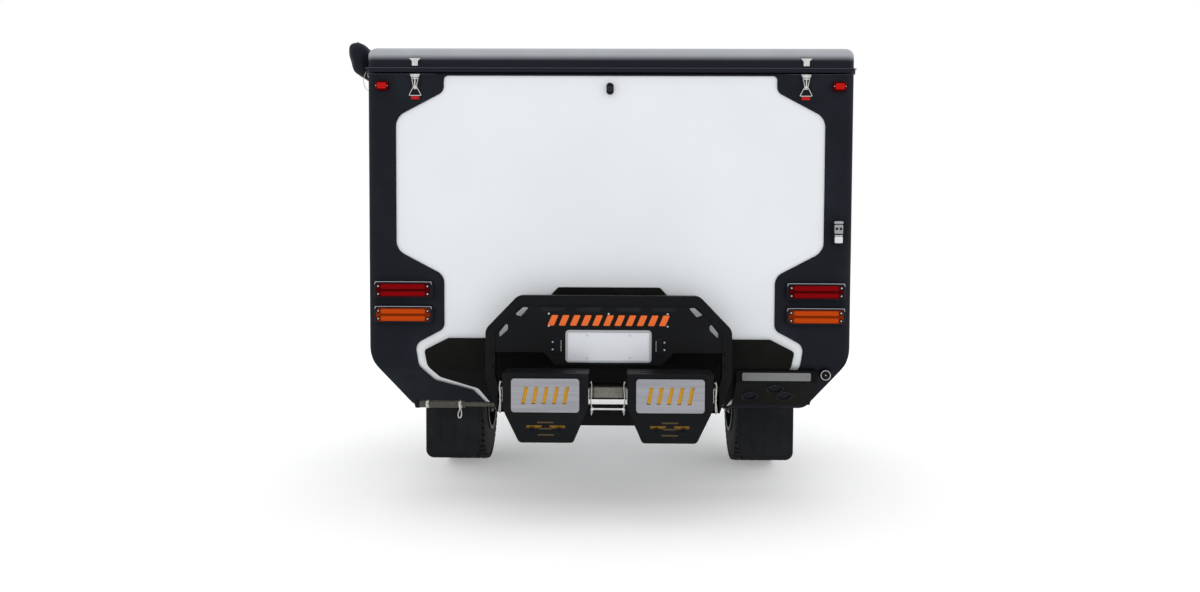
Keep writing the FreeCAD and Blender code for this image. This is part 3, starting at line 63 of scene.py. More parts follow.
def low(node):
    """Lowest corner of a CAD node as an array."""
    return np.array(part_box(node)[0])


def high(node):
    """Highest corner of a CAD node as an array."""
    return np.array(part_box(node)[1])


def middle(node):
    """Middle of a CAD node's box."""
    return (low(node) + high(node)) / 2


def node_points(node):
    """All of a CAD node's mesh points as one array."""
    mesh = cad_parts[node].data
    points = np.zeros(len(mesh.vertices) * 3)
    mesh.vertices.foreach_get("co", points)
    return points.reshape(-1, 3)


AXLE = middle("tyre_right")
TYRE_RADIUS = high("tyre_right")[2] - AXLE[2]
TYRE_WIDTH = high("tyre_right")[0] - low("tyre_right")[0]
RIM_RADIUS = high("rim_right")[2] - AXLE[2]
NUT_SEAT = 0.0985  # from the rim's outer face in to the seat of its nuts
PANEL_NECK = 0.756  # half the width of the rear panel between the covers at their top
LEAF_TOP = 2.0827  # height of the lid hinges' leaves


class Link:
    """A shader value that can be written into ordinary sums and products."""

    def __init__(self, finish, socket):
        self.finish = finish
        self.socket = socket

    def _worked(self, operation, *values):
        """A Math node of that operation on the values, in their order."""
        return self.finish.add("ShaderNodeMath", {"operation": operation}, dict(enumerate(values)))

    def __add__(self, other):
        return self._worked("ADD", self, other)

    __radd__ = __add__

    def __sub__(self, other):
        return self._worked("SUBTRACT", self, other)

    def __rsub__(self, other):
        return self._worked("SUBTRACT", other, self)

    def __mul__(self, other):
        return self._worked("MULTIPLY", self, other)

    __rmul__ = __mul__

    def __pow__(self, other):
        return self._worked("POWER", self, other)

    def sin(self):
        """Sine of the value."""
        return self._worked("SINE", self)

    def size(self):
        """The value without its sign."""
        return self._worked("ABSOLUTE", self)

    def ramp(self, start, end):
        """0 below start, 1 above end, smooth between."""
        settings = {"interpolation_type": "SMOOTHSTEP"}
        inputs = {"Value": self, "From Min": start, "From Max": end}
        return self.finish.add("ShaderNodeMapRange", settings, inputs)


class Finish:
    """One material under construction round a Principled shader."""

    def __init__(self, name, **plain):
        self.material = bpy.data.materials.new(name)
        self.material.use_nodes = True
        self.tree = self.material.node_tree
        self.shader = self.tree.nodes["Principled BSDF"]
        self.put(**plain)

    def add(self, kind, settings=None, inputs=None, out=0):
        """A node of that kind: settings first, then values or links for its sockets."""
        node = self.tree.nodes.new(kind)
        for key, value in (settings or {}).items():
            setattr(node, key, value)
        for key, value in (inputs or {}).items():
            self._feed(node.inputs[key], value)
        return Link(self, node.outputs[out])

    def _feed(self, socket, value):
        """Links a shader value to the socket, or sets a plain one on it."""
        if isinstance(value, Link):
            self.tree.links.new(value.socket, socket)
        elif isinstance(value, tuple) and len(value) == 3 and socket.type == "RGBA":
            socket.default_value = (*value, 1.0)
        else:
            socket.default_value = value

    def put(self, **values):
        """Feeds the Principled shader; underscores stand for spaces."""
        for key, value in values.items():
            self._feed(self.shader.inputs[key.replace("_", " ")], value)

    def place(self, scale=(1.0, 1.0, 1.0)):
        """Object coordinates in metres, scaled along each axis."""
        where = self.add("ShaderNodeTexCoord", out="Object")
        return self.add("ShaderNodeMapping", None, {"Vector": where, "Scale": scale})

    def along(self, axis):
        """One of the object coordinates, X, Y or Z, in metres."""
        where = self.add("ShaderNodeTexCoord", out="Object")
        return self.add("ShaderNodeSeparateXYZ", None, {"Vector": where}, out=axis)

    def noise(self, scale, detail=3.0, roughness=0.5, stretch=(1.0, 1.0, 1.0)):
        """Cloudy noise over the piece; scale is features per metre."""
        inputs = {"Vector": self.place(stretch), "Scale": scale, "Detail": detail, "Roughness": roughness}
        return self.add("ShaderNodeTexNoise", None, inputs)

    def cells(self, scale):
        """Distance to the nearest of scattered cells."""
        return self.add("ShaderNodeTexVoronoi", None, {"Vector": self.place(), "Scale": scale})

    def mixed(self, share, first, second):
        """Colour that goes from first to second with share."""
        inputs = {"Factor": share, MIX_FIRST: first, MIX_SECOND: second}
        return self.add("ShaderNodeMix", {"data_type": "RGBA"}, inputs, out=MIX_RESULT)

    def bump(self, height, distance, strength=1.0):
        """Raises the surface by height times distance, in metres."""
        inputs = {"Height": height, "Distance": distance, "Strength": strength}
        self.put(Normal=self.add("ShaderNodeBump", None, inputs))

    def skin(self, colour, roughness, height, distance, strength):
        """Closes the finish with its colour, its roughness and its relief, and gives the material."""
        self.put(Base_Color=colour, Roughness=roughness)
        self.bump(height, distance, strength)
        return self.material


def shade(obj, material, smooth=True):
    """Gives an object that one material."""
    obj.data.materials.clear()
    obj.data.materials.append(material)
    if smooth:
        obj.data.shade_smooth()


def piece(name, form, look, body="root", smooth=True):
    """A mesh object at the origin from one form or a list of them, riding on a body. A form is a pair of points
    and faces, and look names its finish."""
    points, faces = joined(*form) if isinstance(form, list) else form
    mesh = bpy.data.meshes.new(name)
    mesh.from_pydata(np.asarray(points, float).tolist(), [], [list(face) for face in faces])
    merged = bmesh.new()
    merged.from_mesh(mesh)
    bmesh.ops.remove_doubles(merged, verts=merged.verts, dist=POLE)
    merged.to_mesh(mesh)
    merged.free()
    mesh.validate()
    mesh.update()
    obj = bpy.data.objects.new(name, mesh)
    bpy.context.scene.collection.objects.link(obj)
    shade(obj, finish(look), smooth)
    if body:
        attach(obj, body)
    return obj


def unit(vectors):
    """Each vector divided by its length."""
    vectors = np.asarray(vectors, float)
    return vectors / np.maximum(np.linalg.norm(vectors, axis=-1, keepdims=True), 1e-12)


def grid_faces(rows, columns, round_rows=False, round_columns=False):
    """Quads of a grid whose point (i, j) has index i * columns + j; a round way joins its last line to its first."""
    i = np.arange(rows if round_rows else rows - 1)[:, None]
    j = np.arange(columns if round_columns else columns - 1)[None, :]
    after_i = (i + 1) % rows
    after_j = (j + 1) % columns
    quads = [i * columns + j, i * columns + after_j, after_i * columns + after_j, after_i * columns + j]
    return np.stack([np.broadcast_to(q, (i.size, j.size)) for q in quads], -1).reshape(-1, 4)


def joined(*parts):
    """One pair of points and faces from several."""
    points, faces, count = [], [], 0
    for part_points, part_faces in parts:
        points.append(np.asarray(part_points, float))
        faces.extend([int(k) + count for k in face] for face in part_faces)
        count += len(part_points)
    return np.concatenate(points), faces


def at_places(part, places):
    """The part repeated at every place, each an offset."""
    return joined(*[(part[0] + np.asarray(place, float), part[1]) for place in places])


def mirrored(part):
    """The part and its mirror image across x = 0, with the image's faces turned back."""
    points, faces = part
    image = points * np.array([-1.0, 1.0, 1.0])
    return joined(part, (image, [list(face)[::-1] for face in faces]))


def loft(rings, capped=True, round_rings=False):
    """A skin through closed rings of equal length, an array rings x points x 3, with end caps on request.
    Point (u, v) is the v-th point of the u-th ring."""
    rings = np.asarray(rings, float)
    count, around = rings.shape[:2]
    faces = grid_faces(count, around, round_rows=round_rings, round_columns=True).tolist()
    if capped and not round_rings:
        faces.append(list(range(around))[::-1])
        faces.append(list(range((count - 1) * around, count * around)))
    return rings.reshape(-1, 3), faces


def outward(part):
    """Turns all faces round if the closed part's signed volume is negative."""
    points, faces = part
    volume = 0.0
    for face in faces:
        a = points[face[0]]
        b = points[list(face[1:-1])]
        c = points[list(face[2:])]
        volume += float(np.sum(np.cross(a, b) * c))
    return (points, [list(face)[::-1] for face in faces]) if volume < 0 else (points, faces)


def circle(count, radius=1.0, start=0.0):
    """Points radius * (cos t, sin t) with t evenly spread over a full turn."""
    angle = start + np.arange(count) / count * TURN
    return radius * np.stack([np.cos(angle), np.sin(angle)], -1)


def rounded(half_x, half_y, radius, steps=5):
    """Outline of a rectangle with round corners: each corner's centre plus radius * (cos t, sin t)."""
    corners = [(half_x, half_y, 0.0), (-half_x, half_y, 0.25), (-half_x, -half_y, 0.5), (half_x, -half_y, 0.75)]
    angle = np.linspace(0.0, 0.25, steps + 1) * TURN
    points = []
    for x, y, turn in corners:
        centre = np.array([x - math.copysign(radius, x), y - math.copysign(radius, y)])
        points.append(centre + radius * np.stack([np.cos(angle + turn * TURN), np.sin(angle + turn * TURN)], -1))
    return np.concatenate(points)


def softened(corners, steps=4):
    """Outline with each corner (x, y, radius) rounded: a quadratic curve from one tangent point to the other."""
    corners = [tuple(corner) + (0.0,) * (3 - len(corner)) for corner in corners]
    points = []
    for k, (x, y, radius) in enumerate(corners):
        here = np.array([x, y])
        before = unit(np.array(corners[k - 1][:2]) - here)
        after = unit(np.array(corners[(k + 1) % len(corners)][:2]) - here)
        if radius <= 0:
            points.append(here[None])
            continue
        half = 0.5 * math.acos(max(-1.0, min(1.0, float(before @ after))))
        reach = radius / max(math.tan(half), 1e-3)
        t = np.linspace(0.0, 1.0, steps + 1)[:, None]
        start, end = here + before * reach, here + after * reach
        points.append((1 - t) ** 2 * start + 2 * t * (1 - t) * here + t ** 2 * end)
    return np.concatenate(points)


def inset(outline, distance):
    """The outline moved inwards by distance along its vertex normals, for an anticlockwise outline."""
    ahead = unit(np.roll(outline, -1, 0) - outline)
    behind = unit(outline - np.roll(outline, 1, 0))
    normal = unit(np.stack([-(ahead + behind)[:, 1], (ahead + behind)[:, 0]], -1))
    stretch = 1.0 / np.maximum(np.abs(np.sum(normal * np.stack([-ahead[:, 1], ahead[:, 0]], -1), -1)), 0.5)
    return outline + normal * (distance * stretch)[:, None]


def plate(outline, thickness, edge, to_space, rounds=3):
    """A flat plate with rounded rims. Ring k is the outline inset by edge * (1 - sin a), at a height that
    follows the quarter circle edge * (1 - cos a) from each face; to_space carries (x, y, height) to the frame."""
    outline = np.asarray(outline, float)
    area = np.sum(outline[:, 0] * np.roll(outline[:, 1], -1) - np.roll(outline[:, 0], -1) * outline[:, 1])
    if area < 0:
        outline = outline[::-1]
    angle = np.linspace(0.0, 0.25 * TURN, rounds)
    inward = edge * (1 - np.sin(angle))
    height = edge * (1 - np.cos(angle))
    steps = [*zip(inward, height), *zip(inward[::-1], thickness - height[::-1])]
    rings = []
    for move, rise in steps:
        flat = inset(outline, move)
        rings.append(to_space(flat[:, 0], flat[:, 1], np.full(len(flat), rise)))
    return outward(loft(rings))


def pad(half_x, half_y, radius, thickness, edge, to_space, rounds=3):
    """A plate whose outline is a rectangle with round corners."""
    return plate(rounded(half_x, half_y, radius), thickness, edge, to_space, rounds)


def facing_back(centre):
    """Carries a plate's (x, y, height) to (x, -height, y) about centre, so its top looks to the rear."""
    centre = np.asarray(centre, float)
    return lambda x, y, h: centre + np.stack([x, -h, y], -1)


def facing_front(centre):
    """Carries a plate's (x, y, height) to (-x, height, y) about centre, so its top looks ahead."""
    centre = np.asarray(centre, float)
    return lambda x, y, h: centre + np.stack([-x, h, y], -1)


def facing_side(centre, side):
    """Carries (x, y, height) to (side * height, x, y) about centre, so the top looks out of that flank."""
    centre = np.asarray(centre, float)
    return lambda x, y, h: centre + np.stack([side * h, x, y], -1)


def facing_up(centre):
    """Carries (x, y, height) to (x, y, height) about centre."""
    centre = np.asarray(centre, float)
    return lambda x, y, h: centre + np.stack([x, y, h], -1)


def turned(profile, origin, axis, count=32):
    """A surface of revolution: the profile's (distance along the axis, radius) turned by t round the axis.
    A radius near zero is a pole."""
    profile = np.asarray(profile, float)
    axis = unit(axis)
    side = unit(np.cross(axis, [0.0, 0.0, 1.0] if abs(axis[2]) < 0.9 else [1.0, 0.0, 0.0]))
    other = np.cross(axis, side)
    ring = circle(count)
    spokes = ring[:, :1] * side + ring[:, 1:] * other
    radius = np.maximum(profile[:, None, 1:], CENTRE)
    rings = np.asarray(origin, float) + profile[:, None, :1] * axis + radius * spokes
    return outward(loft(rings))


def pin(centre, axis, half, radius):
    """A plain round pin that reaches half to each side of its centre."""
    return turned([(-half, 0), (-half, radius), (half, radius), (half, 0)], centre, axis, 14)


def falling_away(run, drop):
    """The way down a slope that faces the rear, and the normal that points out of it."""
    slope = unit([0.0, run, -drop])
    return slope, np.array([0.0, slope[2], -slope[1]])


def smooth_path(points, count, round_path=False):
    """Points on the Catmull-Rom curve through the given ones:
    half of (2b + (c-a)t + (2a-5b+4c-d)t^2 + (3b-a-3c+d)t^3) on each stretch b to c."""
    points = np.asarray(points, float)
    if round_path:
        padded = np.concatenate([points[-1:], points, points[:2]])
    else:
        padded = np.concatenate([[2 * points[0] - points[1]], points, [2 * points[-1] - points[-2]]])
    stretches = len(padded) - 3
    place = np.linspace(0.0, stretches, count, endpoint=not round_path)
    k = np.minimum(place.astype(int), stretches - 1)
    t = (place - k)[:, None]
    a, b, c, d = (padded[k + n] for n in range(4))
    return 0.5 * (2 * b + (c - a) * t + (2 * a - 5 * b + 4 * c - d) * t ** 2 + (3 * b - a - 3 * c + d) * t ** 3)


def carried(profile, path, up=(0.0, 0.0, 1.0), round_path=False):
    """A closed profile carried along a path: point (u, v) is path(u) plus the profile's x along the side
    vector and its y along the remaining one, where side = path direction x up."""
    profile = np.asarray(profile, float)
    path = np.asarray(path, float)
    if round_path:
        ahead = unit(np.roll(path, -1, 0) - np.roll(path, 1, 0))
    else:
        ahead = unit(np.gradient(path, axis=0))
    side = unit(np.cross(ahead, np.asarray(up, float)))
    rise = np.cross(side, ahead)
    rings = path[:, None] + (profile[None, :, :1] * side[:, None] + profile[None, :, 1:] * rise[:, None])
    return loft(rings, False, True) if round_path else outward(loft(rings))


def ring_round(outline, to_space, section, up):
    """A closed section carried round a closed flat outline that to_space places."""
    path = to_space(outline[:, 0], outline[:, 1], np.zeros(len(outline)))
    return carried(section, path, up=up, round_path=True)


def level(path, height):
    """Flat points (x, y), all at that height."""
    return np.column_stack([path, np.full(len(path), height)])


def wire(points, radius, count=24, around=8, round_path=False, up=(0.0, 0.0, 1.0)):
    """A round wire along the smooth curve through the points."""
    return carried(circle(around, radius), smooth_path(points, count, round_path), up, round_path)


def bolt_heads(places, axis, radius, height, washer=1.6):
    """Hexagon heads on washers at each place: rings of six corners, chamfered by a fifth of the height."""
    axis = unit(axis)
    washers = turned([(0, 0), (0, washer * radius), (0.3 * height, washer * radius), (0.3 * height, 0)],
                     (0, 0, 0), axis, 14)
    head = turned([(0.2 * height, radius), (height * 0.85, radius), (height, radius * 0.86), (height, 0)],
                  (0, 0, 0), axis, 6)
    return at_places(joined(washers, head), places)


def paint(red, green, blue):
    """Linear colour of a screen colour given as 0 to 255."""
    share = np.array([red, green, blue]) / 255.0
    return tuple(float(c) for c in np.where(share <= 0.04045, share / 12.92, ((share + 0.055) / 1.055) ** 2.4))


def shaded(colour, factor):
    """A colour made darker or lighter all through."""
    return tuple(min(1.0, float(c) * factor) for c in colour)


def gel_coat(name, colour, gloss=0.5):
    """Polished white gel coat: faint clouding, a trace of orange peel and long ripples of the moulding."""
    f = Finish(name, Coat_Weight=gloss, Coat_Roughness=0.06, IOR=1.5, Specular_IOR_Level=0.4)
    cloud = f.noise(1.4, 2.0).ramp(0.35, 0.65)
    return f.skin(f.mixed(cloud, colour, shaded(colour, 0.965)),
                  0.2 + 0.1 * f.noise(7.0, 4.0),
                  f.noise(240.0, 1.0) * 0.25 + f.noise(2.2, 1.0, 0.4) * 4.0, 0.0009, 0.35)


def moulded_black(name, colour, grain=900.0, depth=0.00022, rough=0.46, shine=0.25):
    """Moulded plastic with a leathery grain of small cells, slightly chalked where it catches wear."""
    f = Finish(name, Specular_IOR_Level=shine, IOR=1.48)
    chalk = f.noise(3.0, 5.0, 0.6).ramp(0.45, 0.8)
    return f.skin(f.mixed(chalk, colour, shaded(colour, 1.7)),
                  rough + 0.14 * f.noise(40.0, 3.0),
                  f.cells(grain).ramp(0.05, 0.75) + 0.3 * f.noise(grain * 2.0), depth, 0.7)


def powder_coat(name, colour, rough=0.38):
    """Powder-coated steel: a fine pebbled skin that is a little more rubbed and bright on scattered spots."""
    f = Finish(name, Specular_IOR_Level=0.08, IOR=1.5)
    patch = f.noise(6.0, 6.0, 0.65).ramp(0.5, 0.85)
    return f.skin(f.mixed(patch, colour, shaded(colour, 1.9)),
                  rough + 0.16 * f.noise(90.0, 4.0),
                  f.noise(700.0, 2.0, 0.6), 0.00025, 0.6)


def brushed(name, colour, stretch=(1.0, 1.0, 30.0), rough=0.26, metallic=1.0):
    """Brushed metal: streaks along one way from stretched noise, in tone, roughness and relief."""
    f = Finish(name, Metallic=metallic)
    streak = f.noise(60.0, 4.0, 0.7, stretch)
    return f.skin(f.mixed(streak.ramp(0.3, 0.7), shaded(colour, 0.82), colour),
                  rough + 0.2 * f.noise(45.0, 3.0, 0.6, stretch),
                  streak, 0.00012, 0.5)


def zinc(name, colour):
    """Hot-dipped zinc: flat crystals of cells, each with its own tone, and dull bloom over them."""
    f = Finish(name, Metallic=0.75)
    crystal = f.cells(85.0)
    bloom = f.noise(9.0, 5.0, 0.6).ramp(0.35, 0.75)
    return f.skin(f.mixed(crystal.ramp(0.1, 0.9), shaded(colour, 0.8), f.mixed(bloom, colour, shaded(colour, 1.25))),
                  0.4 + 0.2 * bloom,
                  crystal, 0.0003, 0.4)


def lamp_plastic(name, colour, flute, deep):
    """Lamp lens: a glossy skin over vertical flutes a few millimetres wide, with painted light on its cells and
    painted shade, darker, between them.
    """
    f = Finish(name, Specular_IOR_Level=0.02)
    wave = (f.along(0) * (TURN / flute)).sin()
    rows = (f.along(2) * (TURN / (flute * 1.5))).sin()
    # painted light on the flutes and cells, painted shade between them
    painted_cell_light = (wave * 0.5 + 0.5) * (rows * 0.35 + 0.65)
    return f.skin(f.mixed(painted_cell_light * 0.8 + 0.2 * f.noise(60.0), shaded(colour, deep), colour),
                  0.3,
                  wave * 0.5 + rows * 0.3, 0.0008, 0.5)


def rubber(name, colour, grain=500.0, rough=0.72):
    """Matt black rubber with a fine grain and a faint grey bloom."""
    f = Finish(name, Specular_IOR_Level=0.08)
    bloom = f.noise(5.0, 6.0, 0.65).ramp(0.4, 0.8)
    return f.skin(f.mixed(bloom, colour, shaded(colour, 1.8)),
                  rough + 0.15 * f.noise(60.0),
                  f.noise(grain, 3.0, 0.6), 0.0003, 0.6)


def tyre_rubber(name, colour, axle_height, rim_radius):
    """Tyre rubber: concentric moulding lines on the sidewall from the distance to the axle, and dusty patches."""
    f = Finish(name, Specular_IOR_Level=0.1)
    y = f.along(1)
    z = f.along(2) - axle_height
    radius = (y * y + z * z) ** 0.5
    rings = ((radius - rim_radius) * (TURN / 0.006)).sin()
    dust = f.noise(14.0, 6.0, 0.7).ramp(0.5, 0.8)
    return f.skin(f.mixed(dust, colour, shaded(colour, 2.4)),
                  0.66 + 0.18 * f.noise(80.0),
                  rings * 0.4 + f.noise(420.0, 3.0) * 0.5, 0.0003, 0.6)


def tinted_window(name, colour):
    """Smoke-tinted acrylic, smooth, with slight waviness from its forming."""
    f = Finish(name, IOR=1.49, Coat_Weight=0.4, Transmission_Weight=0.72)
    return f.skin(colour, 0.02 + 0.05 * f.noise(30.0, 4.0), f.noise(5.0, 1.0), 0.002, 0.2)


def blown_plastic(name, colour):
    """Translucent blow-moulded can: mottled wall, soft scattering, a shallow orange peel and painted shade low down.
    """
    f = Finish(name, Subsurface_Weight=0.2, Subsurface_Scale=0.01, Specular_IOR_Level=0.4)
    blotch = f.noise(12.0, 5.0, 0.6).ramp(0.3, 0.75)
    # painted shade low on the can: three tenths of its colour below 0.42 m, full colour above 0.52 m
    above_painted_shade = f.along(2).ramp(0.42, 0.52)
    return f.skin(f.mixed(above_painted_shade, shaded(colour, 0.3), f.mixed(blotch, colour, shaded(colour, 0.7))),
                  0.38 + 0.2 * f.noise(50.0),
                  f.noise(160.0, 2.0), 0.0006, 0.5)


def coated_cloth(name, colour, threads=420.0):
    """Coated cloth: a plain weave of two crossed thread waves, creased and rubbed lighter on the creases."""
    f = Finish(name, Specular_IOR_Level=0.1, Sheen_Weight=0.05, Sheen_Roughness=0.5)
    weave = (f.along(1) * (threads * TURN)).sin() * ((f.along(2) + f.along(0)) * (threads * TURN)).sin()
    crease = f.noise(9.0, 5.0, 0.6, (1.0, 0.35, 1.0))
    return f.skin(f.mixed(crease.ramp(0.45, 0.75), colour, shaded(colour, 2.1)),
                  0.6 + 0.2 * crease,
                  weave * 0.12 + crease * 6.0, 0.0009, 0.6)


def knitted_cover(name, colour, pitch=0.006):
    """Mattress cover: a knit of small raised cells with stitched wave rows 90 mm apart."""
    f = Finish(name, Sheen_Weight=0.35, Sheen_Roughness=0.4, Specular_IOR_Level=0.2)
    knit = (f.along(0) * (TURN / pitch)).sin() * (f.along(1) * (TURN / pitch)).sin()
    wave = ((f.along(1) + 0.02 * (f.along(0) * (TURN / 0.18)).sin()) * (TURN / 0.09)).sin().size()
    stitch = 1.0 - wave.ramp(0.02, 0.3)
    return f.skin(f.mixed(stitch * 0.7 + 0.3 * f.noise(25.0), colour, shaded(colour, 0.6)),
                  0.85 + 0.1 * knit,
                  knit * 0.15 - stitch * 1.5, 0.0025, 0.6)


def plywood(name, colour):
    """Birch plywood: faces with long grain, edges striped by the plies every 1.5 mm in height."""
    f = Finish(name, Specular_IOR_Level=0.3)
    grain = f.noise(22.0, 6.0, 0.65, (8.0, 1.0, 8.0))
    plies = (f.along(2) * (TURN / 0.003)).sin()
    return f.skin(f.mixed(grain.ramp(0.3, 0.7) * 0.7 + plies * 0.15 + 0.1, colour, shaded(colour, 0.55)),
                  0.5 + 0.2 * grain,
                  grain + 0.4 * plies, 0.0004, 0.5)


def painted_plate(name, colour, rough=0.3):
    """Flat enamel or reflective sheet with a fine cell pattern under the surface."""
    f = Finish(name, Specular_IOR_Level=0.15, Coat_Weight=0.1, Coat_Roughness=0.1)
    cell = f.cells(700.0)
    return f.skin(f.mixed(cell.ramp(0.1, 0.6) * 0.3 + 0.2 * f.noise(12.0), colour, shaded(colour, 0.86)),
                  rough + 0.1 * f.noise(30.0),
                  cell, 0.00008, 0.5)


def lid_finish(name, colour, painted_highlight_colour, edge_height, flat_height):
    """Dark moulding with a painted highlight on its rounded shoulder, for the light that the shoulder reflects: the
    share of painted highlight goes from 0 at edge_height to 1 a little above, falls back to almost none on the flat
    top and is broken up by clouds."""
    f = Finish(name, Specular_IOR_Level=0.08, Coat_Roughness=0.25)
    height = f.along(2)
    shoulder = height.ramp(edge_height, edge_height + 0.036)
    on_top = height.ramp(flat_height - 0.005, flat_height)
    # painted highlight on the shoulder, standing in for the reflected light overhead
    painted_highlight_share = shoulder * (1.0 - 0.93 * on_top)
    colour = f.mixed(painted_highlight_share * (0.82 + 0.18 * f.noise(9.0, 4.0)), colour, painted_highlight_colour)
    f.put(Coat_Weight=0.04 + 0.3 * painted_highlight_share)
    return f.skin(colour,
                  0.42 + 0.12 * f.noise(30.0, 3.0),
                  f.cells(1400.0).ramp(0.05, 0.75), 0.0001, 0.6)


def studio_floor(name, colour):
    """Matt pale floor with hardly visible mottling, lit a little from inside like a light table."""
    f = Finish(name, Roughness=0.9, Specular_IOR_Level=0.1, Emission_Color=(1.0, 1.0, 1.0), Emission_Strength=0.3)
    f.put(Base_Color=f.mixed(f.noise(0.7, 3.0), colour, shaded(colour, 0.985)))
    return f.material


def colour_setting(name, description, *screen_colour):
    """A colour setting whose default is given as 0 to 255."""
    return bpy.props.FloatVectorProperty(name=name, description=description, subtype="COLOR",
                                         default=paint(*screen_colour), min=0.0, max=1.0)


def length_setting(name, description, default, least, most):
    """A length setting in metres."""
    return bpy.props.FloatProperty(name=name, description=description, default=default, min=least, max=most,
                                   unit="LENGTH")


def angle_setting(name, description, degrees):
    """An angle setting."""
    return bpy.props.FloatProperty(name=name, description=description, default=math.radians(degrees),
                                   subtype="ANGLE")


class TrailerColours(bpy.types.PropertyGroup):
    """Colours of the trailer's finishes."""

    white: colour_setting("White shell", "Gel coat of the body and the rear panel", 228, 232, 235)
    cover: colour_setting("Corner covers", "Dark moulded plastic of the rear corners", 25, 28, 34)
    panel: colour_setting("Lower panel", "Grained black plastic low on the rear", 18, 18, 17)
    lid: colour_setting("Roof lid", "Dark lid across the roof", 22, 25, 34)
    steel: colour_setting("Coated steel", "Black powder coat of frame, hoop and carriers", 17, 18, 20)
    red: colour_setting("Red lens", "Tail and marker lamp lenses", 152, 6, 14)
    amber: colour_setting("Amber lens", "Direction lamp lenses", 210, 76, 16)
    can: colour_setting("Cans", "Yellow plastic of the two cans", 226, 166, 24)
    bars: colour_setting("Sign bars", "Orange bars on the sign panel", 240, 112, 44)


class TrailerSizes(bpy.types.PropertyGroup):
    """Sizes of the small pieces that are set by themselves."""

    plate_width: length_setting("Number plate width", "Width of the blank plate", 0.372, 0.2, 0.55)
    plate_height: length_setting("Number plate height", "Height of the blank plate", 0.134, 0.08, 0.2)
    tread_depth: length_setting("Tread depth", "Depth of the grooves in the tyres", 0.012, 0.004, 0.02)
    bail_wire: length_setting("Bail wire", "Thickness of the latch wires", 0.0042, 0.002, 0.008)


class TrailerStudio(bpy.types.PropertyGroup):
    """Camera and light."""

    camera_at: bpy.props.FloatVectorProperty(
        name="Camera", description="Where the camera stands", subtype="TRANSLATION",
        default=(0.048, -6.063, 1.207), unit="LENGTH")
    lens: bpy.props.FloatProperty(
        name="Lens", description="Focal length over a 36 mm frame", default=33.0, min=15.0, max=120.0,
        unit="CAMERA")
    tilt: angle_setting("Tilt", "How far the camera looks up", -2.89)
    swing: angle_setting("Swing", "How far the camera looks to its left", 1.02)
    roll: angle_setting("Roll", "Turn about the line of sight", 0.25)
    sky: bpy.props.FloatProperty(
        name="Sky", description="Strength of the white surround", default=1.0, min=0.0, max=5.0)
    top_light: bpy.props.FloatProperty(
        name="Top light", description="Strength of the soft light overhead", default=0.4, min=0.0, max=10.0)


def colours():
    """The trailer's colour settings."""
    return bpy.context.scene.trailer_colours


def sizes():
    """The trailer's size settings."""
    return bpy.context.scene.trailer_sizes


def rgb(name):
    """One of the colours as a plain tuple."""
    return tuple(getattr(colours(), name))


